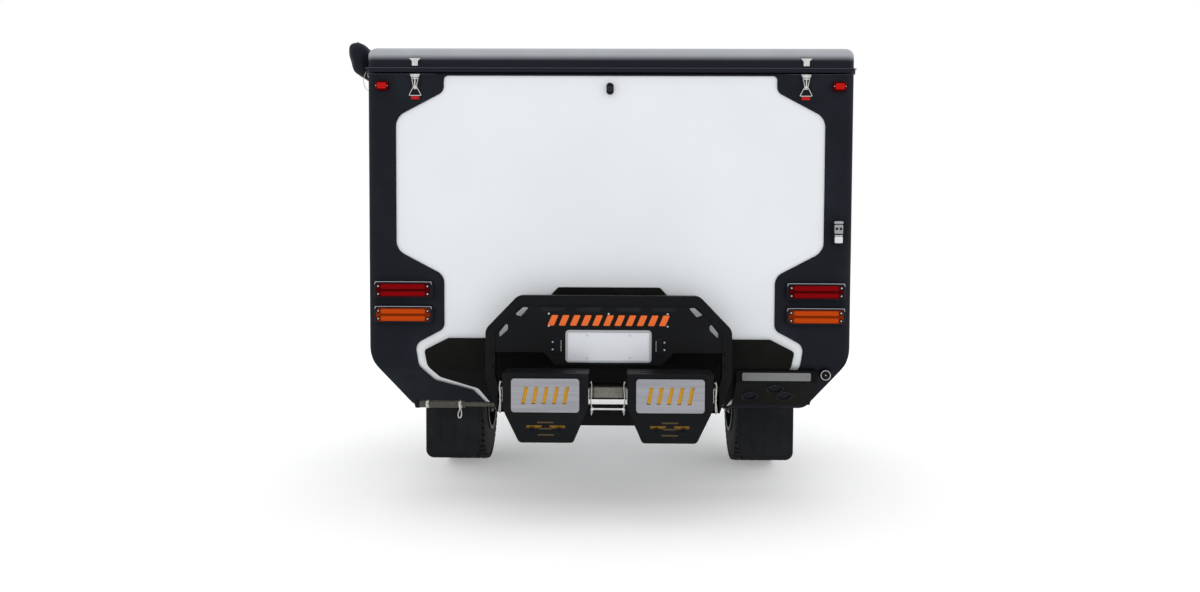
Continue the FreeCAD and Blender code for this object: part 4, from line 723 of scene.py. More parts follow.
FINISHES = {
    "white_gel_coat": lambda n: gel_coat(n, rgb("white")),
    "corner_plastic": lambda n: moulded_black(n, rgb("cover"), 800.0, 0.0002, 0.5, 0.06),
    "grained_panel": lambda n: moulded_black(n, rgb("panel"), 520.0, 0.0004, 0.55, 0.05),
    # lid: its own dark colour, then the colour of the painted highlight on its shoulder
    "lid_shell": lambda n: lid_finish(n, rgb("lid"), paint(170, 174, 178), 2.016, 2.0775),
    "black_powder_coat": lambda n: powder_coat(n, rgb("steel")),
    "stainless": lambda n: brushed(n, (0.66, 0.66, 0.65), (1.0, 1.0, 1.0), 0.2),
    "brushed_face": lambda n: brushed(n, (0.34, 0.345, 0.37), (0.03, 1.0, 1.0), 0.36, 0.85),
    "zinc_coat": lambda n: zinc(n, (0.25, 0.24, 0.21)),
    # darker copy of the zinc: painted shade on the corner tube under the body
    "dull_zinc": lambda n: zinc(n, (0.075, 0.072, 0.058)),
    # grey of the camera bezel and the port screws, also the painted highlights on the lid's lip and the covers' top
    # edge
    "bead_grey": lambda n: painted_plate(n, paint(66, 68, 72)),
    "slot_yellow": lambda n: painted_plate(n, paint(200, 144, 23)),
    "marker_lamp": lambda n: lamp_plastic(n, paint(206, 26, 22), 0.006, 0.7),
    "red_lamp": lambda n: lamp_plastic(n, rgb("red"), 0.006, 0.45),
    "amber_lamp": lambda n: lamp_plastic(n, rgb("amber"), 0.006, 0.62),
    "clear_lens": lambda n: lamp_plastic(n, (0.7, 0.7, 0.68), 0.004, 0.7),
    "flap_rubber": lambda n: rubber(n, paint(30, 31, 34)),
    "seal_rubber": lambda n: rubber(n, paint(22, 23, 26), 900.0, 0.6),
    "tyre_rubber": lambda n: tyre_rubber(n, paint(34, 34, 35), AXLE[2], RIM_RADIUS),
    "wheel_paint": lambda n: powder_coat(n, paint(46, 48, 52), 0.3),
    "smoked_window": lambda n: tinted_window(n, (0.09, 0.1, 0.105)),
    "can_plastic": lambda n: blown_plastic(n, rgb("can")),
    "bag_cloth": lambda n: coated_cloth(n, paint(20, 23, 31)),
    "strap_webbing": lambda n: coated_cloth(n, paint(34, 35, 38), 900.0),
    "knit_cover": lambda n: knitted_cover(n, paint(150, 153, 158)),
    "birch_ply": lambda n: plywood(n, paint(201, 170, 124)),
    "plate_enamel": lambda n: painted_plate(n, paint(226, 229, 234)),
    "orange_enamel": lambda n: painted_plate(n, rgb("bars")),
    "red_pad": lambda n: rubber(n, paint(168, 30, 28), 600.0, 0.5),
    "socket_grey": lambda n: moulded_black(n, paint(150, 152, 154), 900.0, 0.0001, 0.4),
    "pale_plastic": lambda n: moulded_black(n, paint(208, 211, 212), 900.0, 0.0001, 0.4),
    "lens_shadow": lambda n: moulded_black(n, paint(18, 10, 12), 900.0, 0.0001, 0.5, 0.1),
    # pale grey of the number plate's rim, also the painted highlight along the lamp bezels' top edges
    "polished_edge": lambda n: painted_plate(n, paint(176, 180, 184)),
    "shaded_can": lambda n: blown_plastic(n, paint(112, 88, 26)),
    "dark_glass": lambda n: tinted_window(n, (0.01, 0.011, 0.014)),
    "red_base": lambda n: lamp_plastic(n, shaded(rgb("red"), 0.3), 0.006, 0.5),
    "amber_base": lambda n: lamp_plastic(n, shaded(rgb("amber"), 0.4), 0.006, 0.6),
    "slot_grey": lambda n: moulded_black(n, paint(34, 36, 40), 700.0, 0.0003, 0.6, 0.05),
    "strip_grey": lambda n: painted_plate(n, paint(122, 124, 126), 0.5),
    "pale_floor": lambda n: studio_floor(n, (0.74, 0.74, 0.74)),
}

NODE_FINISH = {
    "white_gel_coat": ["body_shell", "rear_panel", "door_right", "door_left"],
    "corner_plastic": ["corner_covers", "lamp_bezels", "rear_camera", "service_socket", "arch_guards"],
    "grained_panel": ["lower_panel", "service_box"],
    "lid_shell": ["roof_lid"],
    "black_powder_coat": ["chassis_frame", "drawbar", "coupling", "trailing_arms", "dampers", "rear_hoop",
                          "sign_panel", "can_holders", "tank_guard", "front_box", "front_box_lid"],
    "stainless": ["fixed_fittings", "lid_fittings", "door_fittings_right", "door_fittings_left"],
    "brushed_face": ["face_plates"],
    # corner tube: zinc darkened as painted shade
    "dull_zinc": ["corner_tube"],
    "zinc_coat": ["carrier_tube", "jockey_tube", "jockey_leg", "jockey_fork"],
    "red_base": ["lenses_red"],
    "amber_base": ["lenses_amber"],
    "flap_rubber": ["mud_flaps", "air_springs", "jockey_wheel"],
    "tyre_rubber": ["tyre_right", "tyre_left"],
    "wheel_paint": ["rim_right", "rim_left"],
    "smoked_window": ["window_right", "window_left"],
    "can_plastic": ["cans"],
    "bag_cloth": ["awning_bag"],
    "birch_ply": ["bed_base"],
    "knit_cover": ["mattress"],
}


def finish(name):
    """The material of that name, made the first time it is asked for."""
    return bpy.data.materials.get(name) or FINISHES[name](name)


class TRAILER_OT_finishes(bpy.types.Operator):
    """Gives every CAD node its material."""

    bl_idname = "trailer.finishes"
    bl_label = "Finish the fixed frame"

    def execute(self, context):
        for name, nodes in NODE_FINISH.items():
            for node in nodes:
                shade(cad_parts[node], finish(name), smooth=False)
        return {"FINISHED"}


class TRAILER_OT_studio(bpy.types.Operator):
    """Sets up the pale floor, the soft light and the camera behind the trailer."""

    bl_idname = "trailer.studio"
    bl_label = "Studio"

    def execute(self, context):
        studio = context.scene.trailer_studio
        self.floor()
        self.light(context, studio)
        self.camera(context, studio)
        context.scene.view_settings.view_transform = "Standard"
        return {"FINISHED"}

    def floor(self):
        """A round floor: rings of radius r and turn t at (r cos t, r sin t, -0.5 mm)."""
        rings = [np.pad(circle(64, radius), ((0, 0), (0, 1)), constant_values=-0.0005)
                 for radius in (60.0, 8.0, CENTRE)]
        piece("studio_floor", loft(rings, False), "pale_floor", body=None)

    def light(self, context, studio):
        """An even white surround and one soft sun overhead, a little ahead of the trailer."""
        world = bpy.data.worlds.new("white_surround")
        world.use_nodes = True
        surround = world.node_tree.nodes["Background"].inputs
        surround["Color"].default_value = (1.0, 1.0, 1.0, 1.0)
        surround["Strength"].default_value = studio.sky
        context.scene.world = world
        lamp = bpy.data.lights.new("top_light", "SUN")
        lamp.energy = studio.top_light
        lamp.angle = math.radians(40)
        top = bpy.data.objects.new("top_light", lamp)
        top.location = (0.0, 1.5, 6.0)
        top.rotation_euler = (math.radians(-17), 0.0, 0.0)
        context.scene.collection.objects.link(top)

    def camera(self, context, studio):
        """The camera looks along +Y, turned by tilt about X, swing about Z and roll about its own axis."""
        view = bpy.data.cameras.new("rear_view")
        view.lens, view.sensor_width = studio.lens, 36.0
        camera = bpy.data.objects.new("rear_view", view)
        camera.location = studio.camera_at
        turn = Euler((math.pi / 2 + studio.tilt, 0.0, studio.swing)).to_matrix()
        camera.rotation_euler = (turn @ Euler((0.0, 0.0, studio.roll)).to_matrix()).to_euler()
        context.scene.collection.objects.link(camera)
        context.scene.camera = camera


def puffed(obj, voxel, pressure, cap, steps=16):
    """Blows the piece up a little as cloth: remeshed at voxel, pressed from inside, moved at most cap, smoothed."""
    scene = bpy.context.scene
    bpy.context.view_layer.objects.active = obj
    remesh = obj.modifiers.new("even", "REMESH")
    remesh.mode, remesh.voxel_size = "VOXEL", voxel
    bpy.ops.object.modifier_apply(modifier="even")
    rest = np.array([v.co for v in obj.data.vertices], float)
    cloth = obj.modifiers.new("blown", "CLOTH")
    cloth.settings.use_pressure = True
    cloth.settings.uniform_pressure_force = pressure
    cloth.settings.effector_weights.gravity = 0.0
    cloth.settings.quality = 4
    for step in range(1, steps + 1):
        scene.frame_set(step)
    graph = bpy.context.evaluated_depsgraph_get()
    blown = np.array([v.co for v in obj.evaluated_get(graph).data.vertices], float)
    obj.modifiers.remove(cloth)
    scene.frame_set(1)
    shift = blown - rest
    reach = np.linalg.norm(shift, axis=1, keepdims=True)
    place = rest + shift * np.minimum(1.0, cap / np.maximum(reach, 1e-9))
    obj.data.vertices.foreach_set("co", place.astype(np.float32).ravel())
    obj.data.update()
    obj.data.shade_smooth()
    return obj


def bag_section(count=72):
    """Cross-section (x, z) of the rolled awning in its bag, as the smooth round path through a few places:
    a fat crown that leans outwards over a narrower foot."""
    outer, inner = low("awning_bag")[0], high("awning_bag")[0]
    foot, crown = low("awning_bag")[2], high("awning_bag")[2]
    width, height = inner - outer, crown - foot
    places = [(1.0, 0.02), (0.62, 0.0), (0.28, 0.14), (0.14, 0.42), (0.02, 0.66), (0.03, 0.9), (0.3, 1.0),
              (0.66, 0.96), (0.98, 0.72), (1.0, 0.4)]
    points = [(outer + width * a, 0.0, foot + height * b) for a, b in places]
    return smooth_path(points, count, round_path=True)[:, [0, 2]]


def bag_form(squeeze_at, squeeze, count=140):
    """The bag: its section carried from tail to nose. At u along it the section shrinks towards its middle
    by squeeze at each strap, by a rounded end over the last few centimetres, and ripples a little in between."""
    tail, nose = low("awning_bag")[1], high("awning_bag")[1]
    section = bag_section()
    centre = section.mean(0)
    u = np.linspace(0.0, 1.0, count)
    u = 0.5 - 0.5 * np.cos(u * math.pi)
    y = tail + (nose - tail) * u
    from_end = np.minimum(y - tail, nose - y)
    size = 0.965 - 0.55 * (1.0 - np.minimum(from_end / 0.05, 1.0)) ** 3
    for place in squeeze_at:
        size = size - squeeze * np.exp(-((y - place) / 0.022) ** 2)
    turn = np.linspace(0.0, TURN, len(section), endpoint=False)
    ripple = 0.014 * np.sin(turn[None] * 3 + y[:, None] * 21) * np.sin(y[:, None] * 9 + turn[None])
    spread = (section - centre)[None] * (size[:, None] + ripple)[..., None]
    along = np.broadcast_to(y[:, None], ripple.shape)
    rings = np.stack([centre[0] + spread[..., 0], along, centre[1] + spread[..., 1]], -1)
    return outward(loft(rings))


class TRAILER_OT_awning(bpy.types.Operator):
    """The rolled awning in its cloth bag, with straps, buckles, piping and a wire loop."""

    bl_idname = "trailer.awning"
    bl_label = "Awning bag"

    def execute(self, context):
        tail, nose = low("awning_bag")[1], high("awning_bag")[1]
        straps = tail + (nose - tail) * np.array([0.07, 0.36, 0.64, 0.93])
        bag = piece("awning_cover", bag_form(straps, squeeze=0.06), "bag_cloth", "lid")
        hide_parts("awning_bag")
        puffed(bag, voxel=0.006, pressure=3.0, cap=0.005)
        self.straps(straps)
        self.piping(tail, nose)
        self.loop(tail)
        return {"FINISHED"}

    def straps(self, places):
        """Webbing bands: the section pushed out by its own thickness and carried over 25 mm, with buckles."""
        section = bag_section()
        centre = section.mean(0)
        bands, buckles = [], []
        for place in places:
            rings = []
            for y, grow in ((-0.0125, 0.0), (-0.0125, 0.0022), (0.0125, 0.0022), (0.0125, 0.0)):
                away = section - centre
                ring = centre + away * 0.912 + unit(away) * (0.003 + grow)
                rings.append(np.stack([ring[:, 0], np.full(len(ring), place + y), ring[:, 1]], -1))
            bands.append(loft(rings, False, True))
            seat = np.array([section[:, 0].min() + 0.012, place, centre[1] + 0.012])
            form = pad(0.02, 0.017, 0.004, 0.006, 0.0015, facing_side(seat + (0.004, 0, 0), -1.0))
            buckles.append(form)
        piece("awning_straps", bands, "strap_webbing", "lid")
        piece("awning_buckles", buckles, "corner_plastic", "lid")

    def piping(self, tail, nose):
        """Two welts of cord along the bag, following its section's size."""
        section = bag_section()
        welts = []
        for index in (4, 46):
            at = section[index % len(section)]
            y = np.linspace(tail + 0.05, nose - 0.05, 60)
            sway = 0.0015 * np.sin(y * 30)
            toward = (section.mean(0) - at) * 0.05
            path = np.stack([at[0] + toward[0] + sway, y, at[1] + toward[1] + sway], -1)
            welts.append(carried(circle(8, 0.003), path))
        piece("awning_piping", welts, "strap_webbing", "lid")

    def loop(self, tail):
        """The wire loop that hangs below the bag's tail end."""
        x, z = high("awning_bag")[0] - 0.006, low("awning_bag")[2]
        points = [(x + dx, tail + 0.012, z + dz) for dx, dz in
                  ((0.0, 0.02), (-0.012, -0.018), (-0.006, -0.052), (0.012, -0.066), (0.016, -0.03), (0.006, 0.012))]
        piece("awning_wire_loop", wire(points, 0.0016, 40, 8, up=(0, 1, 0.01)), "stainless", "lid")


def mattress_form(count_x=120, count_y=130):
    """A pad over the mattress's box: top and bottom meet at a rounded edge. With a, b from -1 to 1 across it,
    half its thickness is t * (1 - a^8)^(1/3) * (1 - b^8)^(1/3), and the top crowns a little more."""
    start, end = low("mattress"), high("mattress")
    a = np.sin(np.linspace(-0.25, 0.25, count_x) * TURN)[None, :]
    b = np.sin(np.linspace(-0.25, 0.25, count_y) * TURN)[:, None]
    middle_at, half = (start + end) / 2, (end - start) / 2
    edge = (1 - a ** 8) ** (1 / 3) * (1 - b ** 8) ** (1 / 3)
    quilt = 0.94 + 0.06 * np.abs(np.sin((a * half[0]) * TURN / 0.4)) * np.abs(np.sin((b * half[1]) * TURN / 0.4))
    x = middle_at[0] + half[0] * 0.995 * a + 0 * b
    y = middle_at[1] + half[1] * 0.995 * b + 0 * a
    top = np.stack([x, y, middle_at[2] + half[2] * edge * quilt], -1)
    under = np.stack([x, y, middle_at[2] - half[2] * edge], -1)
    skin = grid_faces(count_y, count_x)
    points = np.concatenate([top.reshape(-1, 3), under.reshape(-1, 3)])
    faces = np.concatenate([skin[:, ::-1], skin + count_x * count_y])
    return outward((points, faces.tolist()))


class TRAILER_OT_mattress(bpy.types.Operator):
    """The quilted mattress with a welt along its edge."""

    bl_idname = "trailer.mattress"
    bl_label = "Mattress"

    def execute(self, context):
        cushion = piece("mattress_pad", mattress_form(), "knit_cover")
        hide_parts("mattress")
        start, end = low("mattress"), high("mattress")
        centre, half = (start + end) / 2, (end - start) / 2
        ring = rounded(half[0] * 0.995, half[1] * 0.995, 0.05, 6)
        welt = ring_round(ring, facing_up(centre), circle(8, 0.0035), UP)
        piece("mattress_welt", welt, "strap_webbing")
        return {"FINISHED"}


def tyre_profile(depth):
    """Half-section of the carcass as (distance from the tyre's middle, radius): bead, bulging sidewall,
    shoulder and a tread base that sits depth under the outer radius."""
    radius, width, rim = TYRE_RADIUS, TYRE_WIDTH, RIM_RADIUS
    rise = radius - rim
    return [(0.497 * width, rim - 0.006), (0.488 * width, rim + 0.008), (0.492 * width, rim + 0.22 * rise),
            (0.4995 * width, rim + 0.45 * rise), (0.49 * width, rim + 0.68 * rise),
            (0.462 * width, rim + 0.84 * rise), (0.43 * width, radius - depth - 0.004), (0.3 * width, radius - depth),
            (0.0, radius - depth + 0.001)]


def tread_block(corners, base, top, curve):
    """A lug: its outline (along the rim, across) is carried round the axle. Ring heights go from base to top,
    and the top ring is inset by a tenth; a point at angle t and radius r is (across, -r sin t, r cos t)."""
    outline = np.asarray(corners, float)
    centre = outline.mean(0)
    rings = []
    for radius, size in ((base, 1.06), (top - 0.0015, 1.0), (top, 0.9)):
        flat = centre + (outline - centre) * size
        angle = flat[:, 0] / curve
        drop = np.maximum(np.abs(flat[:, 1]) - 0.08, 0.0) ** 2 * 3.2
        rings.append(np.stack([flat[:, 1], -(radius - drop) * np.sin(angle), (radius - drop) * np.cos(angle)], -1))
    return outward(loft(rings))


def tread(depth, width, radius, around=52):
    """All lugs of one tyre: centre blocks with slanted ends, stepped blocks beside them and long shoulder lugs
    on both sides, each row turned from the next by part of a pitch."""
    pitch = TURN * radius / around
    centre = [(-0.44, -0.02), (-0.1, -0.075), (0.42, -0.075), (0.5, 0.0), (0.44, 0.075), (0.1, 0.075), (-0.5, 0.02)]
    beside = [(-0.42, 0.11), (0.36, 0.1), (0.48, 0.19), (0.4, 0.262), (-0.34, 0.27), (-0.5, 0.2)]
    shoulder = [(-0.4, 0.31), (0.34, 0.3), (0.42, 0.4), (0.36, 0.475), (-0.3, 0.475), (-0.42, 0.4)]
    lugs = []
    for k in range(around):
        for shape, shift, sides in ((centre, 0.0, (1,)), (beside, 0.5, (1, -1)), (shoulder, 0.15, (1, -1))):
            for side in sides:
                place = (k + shift * (1 if side > 0 else 1.3)) * pitch
                corners = [(place + a * 0.86 * pitch, side * b * width) for a, b in shape]
                lugs.append(tread_block(corners, radius - depth - 0.003, radius - 0.0004, radius))
    return joined(*lugs)


class TRAILER_OT_tyres(bpy.types.Operator):
    """Tyres with a turned carcass and separate lugs on it."""

    bl_idname = "trailer.tyres"
    bl_label = "Tyres"

    def execute(self, context):
        depth = sizes().tread_depth
        half = smooth_path([(x, r, 0.0) for x, r in tyre_profile(depth)], 28)[:, :2]
        section = np.concatenate([half, half[::-1][1:] * (-1, 1)])
        lugs = tread(depth, TYRE_WIDTH, TYRE_RADIUS)
        for side, body in (("right", "wheel_r"), ("left", "wheel_l")):
            whole = at_places(joined(self.carcass(section), lugs), [middle("tyre_" + side)])
            tyre = piece("tyre_" + side + "_treaded", whole, "tyre_rubber", body)
            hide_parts("tyre_" + side)
            sharp_edges(tyre, angle=35)
        return {"FINISHED"}

    def carcass(self, section):
        """The section (across, radius) turned round the axle, closed by its own inner face at the rim."""
        ring = circle(112)
        inner = [(x, RIM_RADIUS - 0.004) for x in np.linspace(section[-1, 0], section[0, 0], 5)[1:-1]]
        loop = np.concatenate([section, inner])
        across = np.broadcast_to(loop[:, 0], (len(ring), len(loop)))
        rings = np.stack([across, ring[:, :1] * loop[:, 1], ring[:, 1:] * loop[:, 1]], -1)
        return outward(loft(rings, False, True))


def sharp_edges(obj, angle):
    """Smooth shading that breaks at edges over that angle in degrees."""
    mesh = obj.data
    mesh.shade_smooth()
    mesh.set_sharp_from_angle(angle=math.radians(angle))
    return obj


class TRAILER_OT_wheels(bpy.types.Operator):
    """Wheel nuts, centre caps and valves."""

    bl_idname = "trailer.wheels"
    bl_label = "Wheel details"

    def execute(self, context):
        for side, body, out in (("right", "wheel_r", 1.0), ("left", "wheel_l", -1.0)):
            face = high("rim_right")[0] if out > 0 else low("rim_left")[0]
            hub = np.array([face - out * NUT_SEAT, AXLE[1], AXLE[2]])
            ring = circle(6, 0.071, 0.3)
            nuts = [hub + (0.0, y, z) for y, z in ring]
            metal = joined(bolt_heads(nuts, (out, 0, 0), 0.011, 0.02, 1.35),
                           turned([(0.0, 0), (0.0, 0.044), (0.005, 0.043), (0.008, 0.032), (0.0088, 0)],
                                  hub + (out * 0.0316, 0, 0), (out, 0, 0), 36))
            nuts_piece = piece("wheel_nuts_" + side, metal, "stainless", body)
            sharp_edges(nuts_piece, 30)
            valve_at = np.array([face - out * 0.0695, AXLE[1], AXLE[2] - RIM_RADIUS * 0.87])
            valve = turned([(0.0, 0), (0.0, 0.005), (0.012, 0.004), (0.03, 0.0035), (0.031, 0.0045), (0.04, 0.0045),
                            (0.041, 0)], valve_at, (out, 0, 0.25), 12)
            piece("wheel_valve_" + side, valve, "seal_rubber", body)
        return {"FINISHED"}


def pan_heads(places, axis, radius, height):
    """Domed screw heads with a round socket: one profile of (height, radius) turned about each place."""
    profile = [(-0.1 * height, 0), (-0.1 * height, radius), (0.45 * height, radius), (0.8 * height, 0.78 * radius),
               (height, 0.42 * radius), (0.7 * height, 0.36 * radius), (0.68 * height, 0)]
    return at_places(turned(profile, (0, 0, 0), axis, 14), places)


def cup_washers(places, axis, radius, height):
    """Dark cups under screws: a disc with a rounded, slightly raised rim."""
    profile = [(-0.2 * height, 0), (-0.2 * height, radius), (0.6 * height, 0.97 * radius), (height, 0.84 * radius),
               (0.45 * height, 0.66 * radius), (0.4 * height, 0)]
    return at_places(turned(profile, (0, 0, 0), axis, 20), places)


def half_round(start, end, half_height, depth, outwards, count=40, around=14):
    """A half-round bar from start to end. At u along it and v from 0 to half a turn, a point is
    u + half_height * cos v * s across and depth * sin v * s outwards, where s rounds both ends like a
    quarter circle of radius half_height."""
    start, end, outwards = (np.asarray(v, float) for v in (start, end, outwards))
    length = np.linalg.norm(end - start)
    ahead = (end - start) / length
    across = np.cross(ahead, outwards)
    u = (0.5 - 0.5 * np.cos(np.linspace(0.0, math.pi, count))) * length
    from_end = np.minimum(np.minimum(u, length - u) / half_height, 1.0)
    s = np.sqrt(np.maximum(1.0 - (1.0 - from_end) ** 2, 1e-6))
    v = np.linspace(0.0, math.pi, around)
    rings = (start + u[:, None, None] * ahead + (half_height * s[:, None] * np.cos(v))[..., None] * across
             + (depth * s[:, None] * np.sin(v))[..., None] * outwards)
    return outward(loft(rings))


def level_bar(centre, half, half_height, depth, outwards=BACK, count=40, around=14):
    """A half-round bar along X, reaching half to each side of its centre."""
    x, y, z = centre
    return half_round((x - half, y, z), (x + half, y, z), half_height, depth, outwards, count, around)


LATCH_X = 0.884  # the lid's latches stand this far to each side
COVER_BACK = low("corner_covers")[1]
COVER_TOP = high("corner_covers")[2]
LENS_BACK = low("lenses_amber")[1]
LAMP_X = high("lamp_bezels")[0] - 0.136
LAMP_HEIGHTS = {"red": 0.977, "amber": 0.864}


class TRAILER_OT_lamps(bpy.types.Operator):
    """Half-round strips, dark cups and screws on the four lamps, pale bars painted as highlights on their bezels' top
    edges, and the markers' windows.
    """

    bl_idname = "trailer.lamps"
    bl_label = "Lamp details"

    def execute(self, context):
        strip_half, strip_rise = 0.103, 0.0162  # half a strip's length, and how far it is from the lamp's middle
        cup_out, cup_rise = 0.1128, 0.0178  # how far a cup is from the lamp's middle each way
        for name, height in LAMP_HEIGHTS.items():
            strips, cups, screws = [], [], []
            for side in BOTH:
                x = side * LAMP_X
                for z in (height + strip_rise, height - strip_rise):
                    strips.append(level_bar((x, LENS_BACK, z), strip_half, 0.0112, 0.0055))
                for end in (-1.0, 1.0):
                    for z in (height + cup_rise, height - cup_rise):
                        place = (x + end * cup_out, LENS_BACK, z)
                        cups.append(cup_washers([place], BACK, 0.0092, 0.0022))
                        screws.append(pan_heads([place], BACK, 0.0042, 0.0036))
            piece(name + "_lens_strips", strips, name + "_lamp")
            piece(name + "_lens_cups", cups, "lens_shadow")
            piece(name + "_lens_screws", screws, "stainless")
        self.painted_bezel_highlights()
        self.markers()
        return {"FINISHED"}

    def painted_bezel_highlights(self):
        """A pale bar along the upper edge of each bezel, a painted highlight of that edge: a thin bar bent down at
        both ends.
        """
        bars = []
        back = low("lamp_bezels")[1]
        for side in BOTH:
            for height in LAMP_HEIGHTS.values():
                points = [(side * LAMP_X + a, back + 0.0006, height + b) for a, b in
                          ((-0.131, 0.026), (-0.126, 0.0345), (-0.118, 0.0375), (0.0, 0.0378), (0.118, 0.0375),
                           (0.126, 0.0345), (0.131, 0.026))]
                bars.append(wire(points, 0.0014, 60, 8))
        piece("bezel_painted_highlights", bars, "polished_edge")

    def markers(self):
        """Each marker lamp's raised window, a rounded pad with a rib along its middle."""
        pads, screws = [], []
        x, z = high("corner_covers")[0] - 0.072, COVER_TOP - 0.057
        back = low("corner_covers")[1] - 0.024
        for side in BOTH:
            pads.append(pad(0.021, 0.0135, 0.006, 0.005, 0.0028, facing_back((side * x, back + 0.002, z)), 5))
            pads.append(level_bar((side * x, back - 0.0026, z), 0.016, 0.003, 0.0018))
            screws += [(side * x - 0.0255, back, z), (side * x + 0.0255, back, z)]
        piece("marker_windows", pads, "marker_lamp")
        piece("marker_screws", pan_heads(screws, BACK, 0.0022, 0.0016), "stainless")


class TRAILER_OT_latches(bpy.types.Operator):
    """Screws, wire bails, guards, rods and red pads of the lid's two over-centre latches."""

    bl_idname = "trailer.latches"
    bl_label = "Lid latches"

    def execute(self, context):
        top = COVER_TOP - 0.009
        front = COVER_BACK - 0.016
        screws, bails, pads, hooks = [], [], [], []
        for side in BOTH:
            x = side * LATCH_X
            screws += [(x - 0.0165, front + SEAT, top), (x + 0.0165, front + SEAT, top)]
            bails.append(self.bail(x, COVER_BACK - 0.0105, COVER_TOP - 0.06))
            place = facing_back((x, COVER_BACK + 0.0005, COVER_TOP - 0.1085))
            pads.append(pad(0.0195, 0.0085, 0.004, 0.009, 0.003, place, 5))
            hooks.append(self.pull_rod(x, front))
        piece("latch_screws", pan_heads(screws, BACK, 0.0052, 0.0034), "stainless")
        piece("latch_bails", bails, "stainless")
        piece("latch_pads", pads, "red_pad")
        piece("latch_rods", hooks, "stainless")
        self.shields()
        return {"FINISHED"}

    def shields(self):
        """Dark corner guards beside each lever, which leave only the tapering lever bright."""
        high_z, low_z = COVER_TOP - 0.002, COVER_TOP - 0.07
        guard = [(0.0183, high_z - 0.008), (0.0216, high_z - 0.008), (0.0216, low_z - 0.0008),
                 (0.0072, low_z - 0.0008), (0.0072, low_z + 0.004)]
        recess = [(0.0026, high_z - 0.016), (0.0142, high_z - 0.016), (0.0056, low_z + 0.013),
                  (0.0026, low_z + 0.013)]
        place = facing_back((0.0, COVER_BACK + 0.0002, 0.0))
        forms = []
        for side in BOTH:
            for edge in BOTH:
                for corners, depth, rim in ((guard, 0.0052, 0.0004), (recess, 0.0164, 0.0002)):
                    outline = [(side * LATCH_X + edge * a, z) for a, z in corners]
                    forms.append(plate(outline, depth, rim, place, 2))
        piece("latch_guards", forms, "corner_plastic", smooth=False)

    def bail(self, x, y, z):
        """The wire loop under a latch: a triangle with rounded corners that widens downwards."""
        corners = [(-0.004, 0.006), (-0.008, -0.002), (-0.025, -0.034), (-0.0235, -0.039), (0.0, -0.0395),
                   (0.0235, -0.039), (0.025, -0.034), (0.008, -0.002), (0.004, 0.006)]
        return wire([(x + a, y, z + b) for a, b in corners], sizes().bail_wire / 2, 72, 8, up=BACK)

    def pull_rod(self, x, front):
        """The short rod that ends the lever, a barrel with a waist across the lever's face."""
        profile = [(-0.013, 0), (-0.013, 0.0034), (-0.0045, 0.0036), (-0.003, 0.0026), (0.003, 0.0026),
                   (0.0045, 0.0036), (0.013, 0.0034), (0.013, 0)]
        return turned(profile, (x, front + 0.001, COVER_TOP - 0.024), SIDE, 16)


def both_ways(right):
    """An outline's right half, top first, and its mirror image before it: from the lowest left corner over the
    top to the lowest right one."""
    return [(-x, z) for x, z in right[::-1]] + list(right)


def cut_plate(outline, holes, depth, edge, to_space):
    """A flat plate with holes. Outline and holes become closed runs of one flat curve that Blender fills,
    thickens to depth and rounds by edge; to_space carries (x, y, height) to the frame."""
    curve = bpy.data.curves.new("plate", "CURVE")
    curve.dimensions, curve.fill_mode = "2D", "BOTH"
    curve.extrude, curve.bevel_depth, curve.bevel_resolution = depth / 2 - edge, edge, 1
    curve.offset = -edge
    for line in (outline, *holes):
        run = curve.splines.new("POLY")
        run.points.add(len(line) - 1)
        run.points.foreach_set("co", np.column_stack([line, np.zeros(len(line)), np.ones(len(line))]).ravel())
        run.use_cyclic_u = True
    holder = bpy.data.objects.new("plate", curve)
    form = bmesh.new()
    form.from_mesh(bpy.data.meshes.new_from_object(holder))
    bmesh.ops.remove_doubles(form, verts=form.verts, dist=POLE)
    bmesh.ops.recalc_face_normals(form, faces=form.faces)
    points = np.array([v.co for v in form.verts], float)
    faces = [[v.index for v in face.verts] for face in form.faces]
    form.free()
    bpy.data.objects.remove(holder)
    placed = to_space(points[:, 0], points[:, 1], points[:, 2] + depth / 2)
    return outward((placed, faces))


PLATE_Z = 0.736  # middle height of the number plate
PLATE_LAMP_Z = 0.738  # middle height of the lamps beside it


